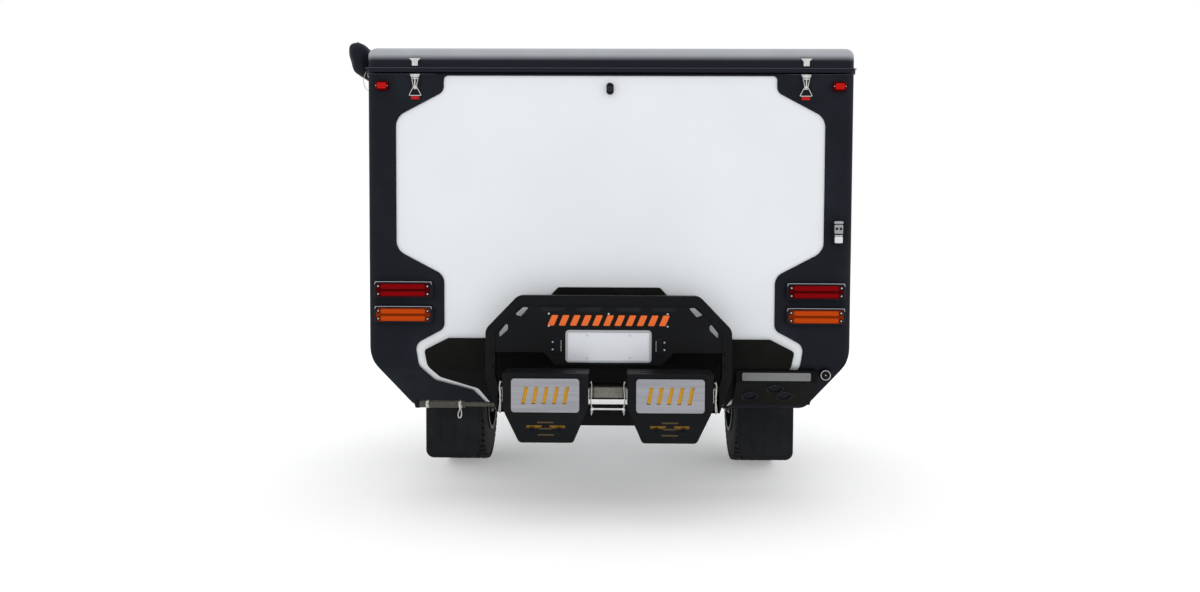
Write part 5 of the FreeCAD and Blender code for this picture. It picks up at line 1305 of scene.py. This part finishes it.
class TRAILER_OT_sign(bpy.types.Operator):
    """The slotted sign panel in its hoop, the blank number plate, two plate lamps, studs and plain slanted bars."""

    bl_idname = "trailer.sign"
    bl_label = "Sign panel"

    def execute(self, context):
        face = low("sign_panel")[1]
        half_x, half_z = sizes().plate_width / 2, sizes().plate_height / 2
        centre = np.array([0.0, face + SEAT, PLATE_Z])
        piece("number_plate_frame", self.rim(centre, half_x, half_z), "polished_edge")
        blank = pad(half_x - 0.003, half_z - 0.003, 0.009, 0.0045, 0.0008, facing_back(centre))
        piece("number_plate", blank, "plate_enamel")
        piece("number_plate_bead", self.bead(centre, half_x - 0.009, half_z - 0.009), "plate_enamel")
        holes = [(x, face - 0.004, PLATE_Z + z) for x in (-0.095, 0.095) for z in (0.05, -0.05)]
        piece("number_plate_bolts", pan_heads(holes, BACK, 0.0045, 0.003), "stainless")
        self.plate_lamps(face)
        self.bars(face)
        self.slotted_panel(face)
        self.hoop()
        studs = [(x, face + SEAT, z) for x, z in
                 ((-0.266, 0.881), (-0.266, 0.826), (0.0, 0.881), (0.262, 0.881), (0.262, 0.826))]
        piece("sign_studs", pan_heads(studs, BACK, 0.0046, 0.003), "stainless")
        return {"FINISHED"}

    def rim(self, centre, half_x, half_z):
        """A flat frame round the plate: a low arched section carried round the plate's outline."""
        section = smooth_path([(-0.0055, -0.003, 0), (-0.0045, 0.0022, 0), (0.0, 0.0034, 0), (0.0045, 0.0022, 0),
                               (0.0055, -0.003, 0)], 14, True)[:, :2]
        return ring_round(rounded(half_x, half_z, 0.011, 6), facing_back(centre - (0.0, 0.003, 0.0)), section, BACK)

    def bead(self, centre, half_x, half_z):
        """The pressed bead just inside the plate's edge, a round wire sunk to half its height."""
        place = facing_back(centre - (0.0, 0.0044, 0.0))
        return ring_round(rounded(half_x, half_z, 0.008, 6), place, circle(8, 0.0012), BACK)

    def slotted_panel(self, face):
        """The panel inside the hoop, with two slots by each shoulder, and four slots with a grey strip behind."""
        outline = softened([(x, z, 0.012) for x, z in both_ways([(0.388, 0.919), (0.507, 0.794), (0.507, 0.76)])], 4)
        lower = both_ways([(0.4655, 0.7935), (0.48, 0.779), (0.488, 0.775), (0.4862, 0.7935), (0.5065, 0.7935),
                           (0.507, 0.708), (0.29, 0.708), (0.238, 0.653)])
        apron = softened([(x, z, 0.012 if z < 0.75 else 0.0) for x, z in lower], 4)
        shoulder = [np.array([(-0.031, -0.014), (0.005, 0.018), (0.031, 0.018), (-0.005, -0.023)]) + (-0.386, 0.891),
                    np.array([(-0.02, -0.031), (-0.018, -0.009), (0.012, 0.029), (0.02, 0.022), (0.019, 0.004),
                              (-0.012, -0.027)]) + (-0.468, 0.806)]
        slots = [np.array([(a, 0.912), (b, 0.912), (b - 0.016, 0.8895), (a + 0.016, 0.8895)])
                 for a, b in ((-0.313, -0.183), (-0.154, -0.023), (0.022, 0.153), (0.184, 0.312))]
        holes = [softened([(x, z, 0.005) for x, z in slot], 3) for slot in (*shoulder, *slots)]
        holes += [softened([(-x, z, 0.005) for x, z in slot], 3) for slot in shoulder]
        forms = [cut_plate(outline, holes, 0.004, 0.0008, facing_back((0.0, face + 0.004, 0.0))),
                 cut_plate(apron, [], 0.0038, 0.0008, facing_back((0.0, face + 0.0039, 0.0)))]
        panel = piece("sign_plate", forms, "black_powder_coat", smooth=False)
        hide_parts("sign_panel")
        strip = pad(0.325, 0.0145, 0.004, 0.002, 0.0005, facing_back((0.0, face + 0.0062, 0.9005)))
        piece("sign_backing", strip, "slot_grey")

    def hoop(self):
        """The hoop round the panel: a bent bow whose shoulders are rounded, and its two feet."""
        outer = both_ways([(0.403, 0.962), (0.549, 0.811), (0.549, 0.591), (0.497, 0.44)])
        inner = both_ways([(0.386, 0.918), (0.505, 0.793), (0.505, 0.6), (0.453, 0.44)])
        radii = [0.0, 0.06, 0.055, 0.05, 0.05, 0.055, 0.06, 0.0]
        loop = [(*place, radius) for place, radius in zip(outer, radii)]
        loop += [(*place, radius * 0.6) for place, radius in zip(inner, radii)][::-1]
        front = high("rear_hoop")[1]
        depth = front - low("rear_hoop")[1]
        bow = cut_plate(softened(loop, 6), [], depth, 0.002, facing_back((0.0, front, 0.0)))
        foot = pad(0.0255, 0.05, 0.002, depth, 0.0015, facing_back((0.47, front, 0.49)))
        hoop = piece("plate_hoop", [bow, mirrored(foot)], "black_powder_coat", smooth=False)
        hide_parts("rear_hoop")

    def plate_lamps(self, face):
        """Capsule lamps beside the plate: stacked ribs of a half-round body that narrows to both ends."""
        bodies, glasses, screws = [], [], []
        for side in BOTH:
            x = side * 0.227
            bodies.append(plate(rounded(0.0155, 0.0395, 0.0145, 8), 0.011, 0.005,
                                facing_back((x, face + SEAT, PLATE_LAMP_Z)), 6))
            for z in np.linspace(-0.024, 0.024, 7):
                bodies.append(level_bar((x, face - 0.0096, PLATE_LAMP_Z + z), 0.011, 0.0022, 0.003, BACK, 14, 8))
            ends = [(x - side * 0.0125, face - 0.004, z) for z in (0.711, 0.765)]
            glasses.append(half_round(*ends, 0.0045, 0.0045, (-side, 0.0, 0.0), 24, 10))
            screws += [(x + side * 0.0215, face + SEAT, PLATE_LAMP_Z + z) for z in (0.0165, -0.0165)]
        piece("plate_lamps", bodies, "corner_plastic")
        piece("plate_lamp_lenses", glasses, "clear_lens")
        piece("plate_lamp_screws", pan_heads(screws, BACK, 0.0046, 0.003), "stainless")

    def bars(self, face):
        """Eleven plain bars, each a parallelogram that leans to the right, as a generic pattern."""
        forms = []
        lean, half, wide, pitch = 0.01, 0.0235, 0.0145, 0.0495
        for k in range(11):
            x = -0.2475 + k * pitch
            corners = softened([(x - wide - lean, -half, 0.004), (x + wide - lean, -half, 0.004),
                                (x + wide + lean, half, 0.004), (x - wide + lean, half, 0.004)], 3)
            forms.append(plate(corners, 0.002, 0.0006, facing_back((0.0, face + 0.0002, 0.8515))))
        piece("sign_bars", forms, "orange_enamel")


CAN_BACK = -1.42  # rear face of the can holders
CAN_SLOPE_TOP = 0.466  # where their faces begin to slope under
POD_X = 0.266  # middle of each can holder


class TRAILER_OT_pods(bpy.types.Operator):
    """Clips, rod, sockets, slots, inlays and covers of the two can holders, and the strip over their tube."""

    bl_idname = "trailer.pods"
    bl_label = "Can holder details"

    def execute(self, context):
        clips, sockets, slots = [], [], []
        slope, normal = falling_away(0.062, 0.132)
        for side in BOTH:
            for edge in BOTH:
                clips.append(self.clip(side * POD_X + edge * 0.186, edge))
            top = np.array([side * POD_X, CAN_BACK, CAN_SLOPE_TOP])
            sockets += [top + (x, 0.0, 0.0) + slope * 0.082 for x in (-0.058, 0.058)]
            for run, half in ((0.04, 0.036), (0.072, 0.03), (0.104, 0.036)):
                place = top + slope * run - normal * SEAT
                slots.append(level_bar(place, half, 0.0045, 0.0022, normal, 20, 10))
        rings = turned([(0.0, 0.006), (0.0, 0.0165), (0.002, 0.0175), (0.0065, 0.0165), (0.007, 0.012),
                        (0.003, 0.0105), (0.0028, 0.006), (0.0, 0.006)], (0, 0, 0), normal, 28)
        piece("holder_clips", clips, "stainless")
        piece("holder_sockets", at_places(rings, sockets), "corner_plastic")
        piece("holder_socket_bolts", bolt_heads([p + normal * SEAT for p in sockets], normal, 0.0075, 0.006, 1.2),
              "black_powder_coat")
        piece("holder_slots", slots, "shaded_can")
        self.rod()
        self.folds()
        self.covers()
        return {"FINISHED"}

    def covers(self):
        """Yellow inlays behind the face plates' slots, and lift-off covers on the holders: shallow pans with
        rounded rims and two pressed ribs."""
        start, end = low("can_holders"), high("can_holders")
        y = (start[1] + end[1]) / 2 - 0.016
        forms = []
        inlays = [pad(0.1, 0.036, 0.002, 0.0012, 0.0003, facing_back((side * POD_X, CAN_BACK + SEAT, 0.55)), 2)
                  for side in BOTH]
        piece("holder_inlays", inlays, "slot_yellow")
        for side in BOTH:
            x = side * POD_X
            forms.append(pad(0.184, 0.1, 0.008, 0.02, 0.004, facing_up((x, CAN_BACK + 0.098, end[2] - 0.0185)), 5))
            for dy in (-0.04, 0.04):
                forms.append(level_bar((x, y + dy, end[2] + 0.0011), 0.13, 0.008, 0.003, UP, 30, 10))
        piece("holder_covers", forms, "black_powder_coat")

    def clip(self, x, edge):
        """A wire toggle on a holder's flank: a long loop, its hook over the lid and a small base plate."""
        y = CAN_BACK + 0.03
        bends = np.array([(0.002, 0.006, 0.6), (0.009, 0.0, 0.603), (0.011, -0.006, 0.575), (0.008, -0.008, 0.53),
                          (0.012, -0.004, 0.49), (0.014, 0.004, 0.474), (0.009, 0.012, 0.472), (0.007, 0.012, 0.53),
                          (0.01, 0.01, 0.58), (0.006, 0.008, 0.6)])
        loop = wire(bends * (edge, 1.0, 1.0) + (x, y, 0.0), 0.0023, 90, 8, round_path=True, up=(0.3, 1.0, 0.1))
        base = pad(0.011, 0.03, 0.004, 0.004, 0.001, facing_side((x - edge * 0.0044, y + 0.004, 0.545), edge))
        return joined(loop, base, pin((x + edge * 0.008, y + 0.002, 0.53), (0, 1, 0.0), 0.016, 0.0036))

    def rod(self):
        """The bright rod between the holders: a bar with collars and a ball at each end, on the carrier's front."""
        y, z = CAN_BACK + 0.03, 0.487
        profile = [(-0.078, 0), (-0.078, 0.005), (-0.07, 0.0085), (-0.062, 0.006), (-0.058, 0.0042), (0.058, 0.0042),
                   (0.062, 0.006), (0.07, 0.0085), (0.078, 0.005), (0.078, 0)]
        bar = turned(profile, (0.0, y, z), SIDE, 20)
        bends = np.array([(0.066, 0.0, 0.0), (0.068, -0.004, -0.012), (0.07, 0.0, -0.026), (0.072, 0.006, -0.018),
                          (0.07, 0.004, -0.004)])
        links = [wire(bends * (side, 1.0, 1.0) + (0.0, y, z), 0.0018, 40, 8, True, (1.0, 0.2, 0.0)) for side in BOTH]
        piece("holder_rod", [bar, *links], "stainless")

    def folds(self):
        """A pale strap that is folded over the carrier between the holders: its section is the carrier's
        outline pushed out by 2 mm and its ends curl forward."""
        start, end = low("carrier_tube"), high("carrier_tube")
        y0, y1, z0, z1 = start[1] - 0.002, end[1] - 0.004, start[2] - 0.0015, end[2] + 0.002
        outline = softened([(y0, z0, 0.006), (y0, z1, 0.006), (y1, z1, 0.004), (y1, z1 - 0.0015),
                            (y0 + 0.0015, z1 - 0.0015, 0.004), (y0 + 0.0015, z0, 0.001)], 4)
        along = np.linspace(-0.068, 0.068, 24)
        rings = np.stack([np.stack([np.full(len(outline), x), outline[:, 0], outline[:, 1]], -1) for x in along])
        piece("carrier_strip", outward(loft(rings)), "zinc_coat")


SERVICE_FACE = low("service_box")[1]


class TRAILER_OT_corner(bpy.types.Operator):
    """Camera rim, lidded socket, round outlet and the service box's strip, port rings and screws."""

    bl_idname = "trailer.corner"
    bl_label = "Right rear corner"

    def execute(self, context):
        self.camera()
        self.socket()
        self.outlet()
        self.service_box()
        return {"FINISHED"}

    def camera(self):
        """The camera's bezel, its domed glass and the small hood over it."""
        back, z = low("rear_camera")[1], middle("rear_camera")[2] - 0.003
        bezel = turned([(-0.004, 0.0062), (-0.002, 0.0085), (0.0012, 0.0105), (0.0016, 0.0088), (-0.001, 0.0064),
                        (-0.004, 0.0062)], (0, back, z), BACK, 28)
        glass = turned([(-0.006, 0), (-0.006, 0.0064), (-0.003, 0.006), (-0.0012, 0.0042), (-0.0005, 0)],
                       (0, back, z), BACK, 24)
        piece("camera_bezel", bezel, "bead_grey")
        piece("camera_glass", glass, "dark_glass")
        hood = level_bar((0.0, back - SEAT, z + 0.0165), 0.011, 0.0026, 0.0055, BACK, 20, 10)
        piece("camera_hood", hood, "corner_plastic")

    def socket(self):
        """The lidded socket: a pale hood at its top, two pins, a hinge barrel and a pale block at its foot."""
        x, back = high("service_socket")[0] - 0.023, low("service_socket")[1]
        top = high("service_socket")[2]
        foot = top - 0.104
        hood = [level_bar((x, back + 0.001, top - 0.008), 0.021, 0.0065, 0.007),
                pad(0.019, 0.02, 0.004, 0.0035, 0.0012, facing_back((x, back + SEAT, top - 0.038)), 4)]
        piece("socket_hood", hood, "socket_grey")
        lid = pad(0.018, 0.015, 0.005, 0.006, 0.0025, facing_back((x, back + SEAT, foot + 0.0185)), 5)
        piece("socket_lid", lid, "pale_plastic")
        pins = [(x - 0.009, back - 0.0028, top - 0.036), (x + 0.009, back - 0.0028, top - 0.036)]
        piece("socket_pins", [cup_washers(pins, BACK, 0.006, 0.003), pan_heads(pins, BACK, 0.0034, 0.0024)],
              "lens_shadow")
        barrel = turned([(-0.017, 0), (-0.017, 0.003), (-0.006, 0.003), (-0.0055, 0.0024), (0.0055, 0.0024),
                         (0.006, 0.003), (0.017, 0.003), (0.017, 0)], (x, back - 0.001, foot + 0.0375), SIDE, 14)
        piece("socket_hinge", barrel, "stainless")

    def outlet(self):
        """The round outlet's flange, its spring lid and the lid's lug."""
        points = node_points("service_socket")
        points = points[points[:, 2] < 0.63]
        x = (points[:, 0].min() + points[:, 0].max()) / 2
        z = (points[:, 2].min() + points[:, 2].max()) / 2
        back = points[:, 1].min()
        lid = turned([(-0.001, 0), (-0.001, 0.0245), (0.0022, 0.0262), (0.0042, 0.0245), (0.0035, 0.0195),
                      (0.0052, 0.0175), (0.0058, 0.009), (0.006, 0)], (x, back, z), BACK, 40)
        lug = pad(0.0055, 0.004, 0.0025, 0.007, 0.002, facing_back((x, back, z - 0.0268)), 4)
        barrel = pin((x, back - 0.003, z + 0.0265), SIDE, 0.01, 0.0034)
        piece("outlet_lid", [lid, lug, barrel], "black_powder_coat")
        pip = pan_heads([(x, back - 0.0056, z)], BACK, 0.003, 0.0016)
        ring = ring_round(circle(40, 0.0213), facing_back((x, back - 0.0043, z)), circle(10, 0.0019), BACK)
        piece("outlet_ring", [pip, ring], "stainless")

    def service_box(self):
        """A pale rubbing strip on the sill, and on the slope three ports with flanges, ribbed caps and screws."""
        start, end = low("service_box"), high("service_box")
        x = (start[0] + end[0]) / 2
        half = (end[0] - start[0]) / 2 - 0.026
        sill = end[2] - 0.029
        strip = pad(half, 0.0185, 0.006, 0.004, 0.0014, facing_back((x, SERVICE_FACE + SEAT, sill)), 4)
        piece("service_strip", strip, "strip_grey")
        places = [(x + k * half * 0.9, SERVICE_FACE - 0.0034, sill) for k in (-1, -0.34, 0.34, 1)]
        piece("service_screws", pan_heads(places, BACK, 0.0042, 0.0024), "strip_grey")
        slope, normal = falling_away(0.17, 0.13)
        corner = np.array([start[0], SERVICE_FACE, end[2] - 0.052])
        width = end[0] - start[0]
        flanges, caps, screws = [], [], []
        for across, along in ((0.5, 0.29), (0.2, 0.6), (0.64, 0.6)):
            place = corner + (width * across, 0.0, 0.0) + slope * (0.214 * along)
            flanges.append(turned([(-0.007, 0.0325), (0.0, 0.0325), (0.0026, 0.034), (0.0028, 0.039), (0.0006, 0.041),
                                   (-0.0006, 0.041), (-0.007, 0.0325)], place, normal, 44))
            caps.append(turned([(-0.0068, 0), (-0.0068, 0.0318), (-0.004, 0.0312), (-0.0034, 0.026), (-0.005, 0.024),
                                (-0.005, 0.007), (-0.002, 0.005), (-0.0016, 0)], place, normal, 40))
            spokes = [(math.cos(t), math.sin(t)) for t in (0.4, 0.4 + TURN / 3, 0.4 + 2 * TURN / 3)]
            screws += [place + 0.0365 * (c * np.array(SIDE) + s * slope) + normal * 0.0026 for c, s in spokes]
        piece("service_port_flanges", flanges, "black_powder_coat")
        piece("service_port_caps", caps, "corner_plastic")
        piece("service_port_screws", pan_heads(screws, normal, 0.0028, 0.0018), "bead_grey")


class TRAILER_OT_under(bpy.types.Operator):
    """Corner tube's cap and clamps, mud flap clamps and ribs, hoop bolts, and the drawbar's bolts and loops."""

    bl_idname = "trailer.under"
    bl_label = "Underside and hoop hardware"

    def execute(self, context):
        self.tube()
        self.flaps()
        self.hoop()
        self.drawbar()
        return {"FINISHED"}

    def tube(self):
        """A rubber cap with a rim on the tube's outer end, two band clamps with screws and a spring clip below."""
        x0 = low("corner_tube")[0]
        points = node_points("corner_tube")
        end = points[points[:, 0] < x0 + 0.01]
        centre = (end.min(0) + end.max(0)) / 2
        radius = (end[:, 2].max() - end[:, 2].min()) / 2
        y, z = centre[1], centre[2]
        cap = turned([(-0.004, 0), (-0.004, radius * 0.6), (-0.001, radius + 0.0015), (0.016, radius + 0.002),
                      (0.018, radius + 0.0004)], (x0, y, z), SIDE, 28)
        piece("tube_cap", cap, "seal_rubber")
        bands = []
        for x in (x0 + 0.055, x0 + 0.205):
            bands.append(turned([(-0.0075, radius - 0.0004), (-0.0075, radius + 0.0016), (0.0075, radius + 0.0016),
                                 (0.0075, radius - 0.0004), (-0.0075, radius - 0.0004)], (x, y, z), SIDE, 30))
            bands.append(turned([(-0.012, 0), (-0.012, 0.0045), (0.01, 0.0045), (0.012, 0.003), (0.012, 0)],
                                (x, y - radius - 0.004, z - 0.003), (0.0, 0.25, 1.0), 12))
        bends = np.array([(0.0, -0.012, -0.016), (0.006, -0.016, -0.034), (0.004, -0.018, -0.056),
                          (-0.006, -0.016, -0.06), (-0.01, -0.012, -0.044), (-0.004, -0.006, -0.024)])
        clip = wire(bends + (x0 + 0.205, y, z), 0.0026, 60, 8, True, (0.2, 1.0, 0.1))
        piece("tube_bands", bands, "stainless")
        piece("tube_clip", clip, "stainless")

    def flaps(self):
        """A clamp bar with three bolts across each flap's top, a bead just inside its edge and three ribs."""
        start, end = low("mud_flaps"), high("mud_flaps")
        inner, outer, back = 0.632, end[0], start[1]
        bars, beads, bolts = [], [], []
        x, half = (inner + outer) / 2, (outer - inner) / 2
        z, half_z = (start[2] + end[2]) / 2, (end[2] - start[2]) / 2
        outline = rounded(half - 0.014, half_z - 0.014, 0.03, 6)
        for side in BOTH:
            place = facing_back((side * x, back + SEAT, end[2] - 0.024))
            bars.append(pad(half - 0.008, 0.014, 0.003, 0.005, 0.001, place))
            place = facing_back((side * x, back + 0.0002, z))
            beads.append(ring_round(outline, place, circle(8, 0.0022), BACK))
            for k in (-0.5, 0.0, 0.5):
                ends = [(side * x + k * half, back + 0.0003, rib_end) for rib_end in (start[2] + 0.06, end[2] - 0.06)]
                beads.append(half_round(*ends, 0.0035, 0.0018, BACK, 24, 8))
            bolts += [(side * x + k * half, back - 0.0044, end[2] - 0.024) for k in (-0.78, 0.0, 0.78)]
        piece("flap_bars", bars, "black_powder_coat")
        piece("flap_ribs", beads, "flap_rubber")
        piece("flap_bolts", bolt_heads(bolts, BACK, 0.0055, 0.006, 1.5), "stainless")

    def hoop(self):
        """Bolts on the hoop's legs and feet, and rounded end caps on the carrier tube."""
        back = low("rear_hoop")[1]
        places = [(side * x, back + 0.0003, z) for side in (1, -1) for x, z in
                  ((0.47, 0.462), (0.47, 0.518), (0.521, 0.706), (0.521, 0.648))]
        piece("hoop_bolts", bolt_heads(places, BACK, 0.0068, 0.006, 1.7), "black_powder_coat")
        start, end = low("carrier_tube"), high("carrier_tube")
        centre = (start + end) / 2
        caps = [plate(rounded((end[1] - start[1]) / 2 - 0.001, (end[2] - start[2]) / 2 - 0.001, 0.006), 0.004, 0.0015,
                      facing_side((x, centre[1], centre[2]), side), 4)
                for x, side in ((end[0] - 0.0003, 1.0), (start[0] + 0.0003, -1.0))]
        piece("carrier_caps", caps, "seal_rubber")

    def drawbar(self):
        """Bolts through the drawbar's nose, a grab handle and two chain loops."""
        neck = low("coupling")[1]
        right = bolt_heads([(0.0502, y, z) for y in (neck - 0.12, neck - 0.05) for z in (0.465, 0.515)],
                           SIDE, 0.008, 0.008)
        piece("nose_bolts", mirrored(right), "zinc_coat")
        top = high("drawbar")[2] - SEAT
        grab = wire([(-0.034, neck - 0.2, top), (-0.036, neck - 0.2, top + 0.03), (0.0, neck - 0.2, top + 0.044),
                     (0.036, neck - 0.2, top + 0.03), (0.034, neck - 0.2, top)], 0.006, 48, 12, up=(0, 1, 0))
        piece("nose_handle", grab, "black_powder_coat")
        loops = []
        for side in BOTH:
            bends = [(0.052, -0.28, 0.452), (0.074, -0.286, 0.446), (0.086, -0.26, 0.44), (0.074, -0.234, 0.446),
                     (0.052, -0.24, 0.452)]
            loops.append(wire([(side * x, neck + y, z) for x, y, z in bends], 0.0055, 44, 10, up=(0, 0.3, 1)))
        piece("chain_loops", loops, "zinc_coat")


class TRAILER_OT_seams(bpy.types.Operator):
    """Grey beads along seams as painted highlights of their edges, the lid's seal, window rims, door seals, hinge
    screws, door and box locks.
    """

    bl_idname = "trailer.seams"
    bl_label = "Seams, seals and locks"

    def execute(self, context):
        self.seams()
        self.doors()
        self.front_box()
        return {"FINISHED"}

    def seams(self):
        """A fine grey bead on the lid's lip and another on the corner covers' top edge, both painted highlights of
        those edges, and a bulb seal between.
        """
        start, end = low("roof_lid"), high("roof_lid")
        lip = start[2] + 0.02
        x, back, front = end[0] - 0.0008, start[1] + 0.0008, end[1] - 0.01
        corner = 0.024
        path = softened([(-x, front), (-x, back, corner), (x, back, corner), (x, front)], 8)
        bead = carried(circle(8, 0.0016), level(path, lip - 0.0012))
        piece("lid_lip_painted_highlight", bead, "bead_grey", "lid")
        face = COVER_BACK + 0.0002
        wide = high("corner_covers")[0] - 0.022
        edge = level(np.column_stack([np.linspace(-wide, wide, 60), np.full(60, face)]), COVER_TOP - 0.0016)
        inside = np.abs(edge[:, 0]) > PANEL_NECK + 0.002
        parts = [carried(circle(8, 0.0013), edge[(edge[:, 0] * side > 0) & inside]) for side in BOTH]
        piece("cover_top_painted_highlight", parts, "bead_grey")
        wall = high("body_shell")[0] - 0.02
        tail = low("body_shell")[1] + 0.02
        seat = start[2] - 0.008
        loop = softened([(-wall, end[1] - 0.03, 0.01), (-wall, tail, 0.02), (wall, tail, 0.02),
                         (wall, end[1] - 0.03, 0.01)], 6)
        piece("lid_seal", carried(circle(10, 0.0036), level(loop, seat + 0.0022)), "seal_rubber")
        hinges = (-0.72, 0.0, 0.72)
        for name, body, steps in (("hood", "root", (0.034, 0.05)), ("lid", "lid", (-0.034, -0.05))):
            screws = [(x + dx, end[1] + dy, LEAF_TOP) for x in hinges for dx in (-0.016, 0.016) for dy in steps]
            piece(name + "_hinge_screws", pan_heads(screws, UP, 0.005, 0.0025), "stainless", body)

    def doors(self):
        """Window frames with a rubber lip, an edge bead round each door, strap screws and the handles' locks."""
        straps, lock_y, lock_z = (0.93, 1.64), 0.6, 1.057
        for side, name, body in ((1.0, "right", "door_r"), (-1.0, "left", "door_l")):
            glass_low, glass_high = low("window_" + name), high("window_" + name)
            door_low, door_high = low("door_" + name), high("door_" + name)
            face = door_high[0] if side > 0 else -door_low[0]
            centre, half = (glass_low + glass_high) / 2, (glass_high - glass_low) / 2
            ring = rounded(half[1] - 0.001, half[2] - 0.001, 0.079, 10)
            section = smooth_path([(-0.013, -0.001, 0), (-0.011, 0.003, 0), (0.0, 0.0052, 0), (0.011, 0.003, 0),
                                   (0.013, -0.001, 0)], 16, True)[:, :2]
            place = facing_side((side * face, centre[1], centre[2]), side)
            rim = ring_round(ring, place, section, (side, 0.0, 0.0))
            piece("window_rim_" + name, rim, "corner_plastic", body)
            lip = ring_round(inset(ring, 0.0125), facing_side((side * (face - 0.0135), centre[1], centre[2]), side),
                             circle(8, 0.0035), (side, 0.0, 0.0))
            piece("window_lip_" + name, lip, "seal_rubber", body)
            middle_at, reach = (door_low + door_high) / 2, (door_high - door_low) / 2
            edge = rounded(reach[1] + 0.0004, reach[2] + 0.0004, 0.11, 12)
            bead = ring_round(edge, facing_side((side * (face - 0.03), middle_at[1], middle_at[2]), side),
                              circle(8, 0.0018), (side, 0.0, 0.0))
            piece("door_edge_seal_" + name, bead, "seal_rubber", body)
            screws = [(side * (face + 0.0058), y, z + dz) for z in straps for y in (1.13, 1.165, 1.2)
                      for dz in (-0.009, 0.009)]
            piece("door_strap_screws_" + name, pan_heads(screws, (side, 0, 0), 0.0038, 0.0022), "stainless", body)
            lock = turned([(-0.0004, 0), (-0.0004, 0.0085), (0.003, 0.0085), (0.0038, 0.0072), (0.003, 0.006),
                           (0.0042, 0.0052), (0.0042, 0)], (side * (face + 0.0048), lock_y, lock_z), (side, 0, 0), 24)
            piece("door_lock_" + name, lock, "stainless", body)
            place = facing_side((side * (face + 0.0088), lock_y, lock_z), side)
            slot = pad(0.0009, 0.0032, 0.0007, 0.0006, 0.0002, place)
            piece("door_keyway_" + name, slot, "lens_shadow", body)

    def front_box(self):
        """Two quarter-turn locks on the front box's lid and a handle between them."""
        end = high("front_box_lid")
        y, z = end[1], (low("front_box_lid")[2] + end[2]) / 2
        locks, keys = [], []
        for x in (-0.27, 0.27):
            locks.append(pad(0.026, 0.013, 0.007, 0.006, 0.002, facing_front((x, y - 0.0006, z)), 4))
            locks.append(turned([(0.0, 0), (0.0, 0.009), (0.004, 0.0085), (0.005, 0.006), (0.005, 0)],
                                (x, y + 0.0052, z), (0, 1, 0), 22))
            keys.append(pad(0.0009, 0.0036, 0.0007, 0.0006, 0.0002, facing_front((x, y + 0.01, z))))
        piece("box_locks", locks, "stainless", "box_lid")
        piece("box_keyways", keys, "lens_shadow", "box_lid")
        pull = wire([(-0.06, y, z), (-0.06, y + 0.018, z - 0.001), (-0.04, y + 0.026, z - 0.002),
                     (0.04, y + 0.026, z - 0.002), (0.06, y + 0.018, z - 0.001), (0.06, y, z)], 0.0038, 60, 10)
        piece("box_pull", pull, "black_powder_coat", "box_lid")


class TRAILER_PT_panel(bpy.types.Panel):
    """Sidebar panel with the trailer's settings and steps."""

    bl_label = "Teardrop trailer"
    bl_idname = "TRAILER_PT_panel"
    bl_space_type = "VIEW_3D"
    bl_region_type = "UI"
    bl_category = "Trailer"

    def draw(self, context):
        layout = self.layout
        for group in (context.scene.trailer_colours, context.scene.trailer_sizes, context.scene.trailer_studio):
            box = layout.box()
            for name in group.__annotations__:
                box.prop(group, name)
        for step in STEPS:
            layout.operator(step.bl_idname)


STEPS = (TRAILER_OT_studio, TRAILER_OT_finishes, TRAILER_OT_tyres, TRAILER_OT_wheels, TRAILER_OT_awning,
         TRAILER_OT_mattress, TRAILER_OT_lamps, TRAILER_OT_latches, TRAILER_OT_sign, TRAILER_OT_pods,
         TRAILER_OT_corner, TRAILER_OT_under, TRAILER_OT_seams)
GROUPS = (TrailerColours, TrailerSizes, TrailerStudio)


def register():
    """Makes the settings, the steps and the panel known to Blender."""
    for item in (*GROUPS, *STEPS, TRAILER_PT_panel):
        bpy.utils.register_class(item)
    bpy.types.Scene.trailer_colours = bpy.props.PointerProperty(type=TrailerColours)
    bpy.types.Scene.trailer_sizes = bpy.props.PointerProperty(type=TrailerSizes)
    bpy.types.Scene.trailer_studio = bpy.props.PointerProperty(type=TrailerStudio)


def unregister():
    """Takes them away again."""
    del bpy.types.Scene.trailer_colours, bpy.types.Scene.trailer_sizes, bpy.types.Scene.trailer_studio
    for item in reversed((*GROUPS, *STEPS, TRAILER_PT_panel)):
        bpy.utils.unregister_class(item)


def main():
    """Registers the add-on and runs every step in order."""
    register()
    for step in STEPS:
        group, name = step.bl_idname.split(".")
        getattr(getattr(bpy.ops, group), name)()


if __name__ == "__main__":
    main()
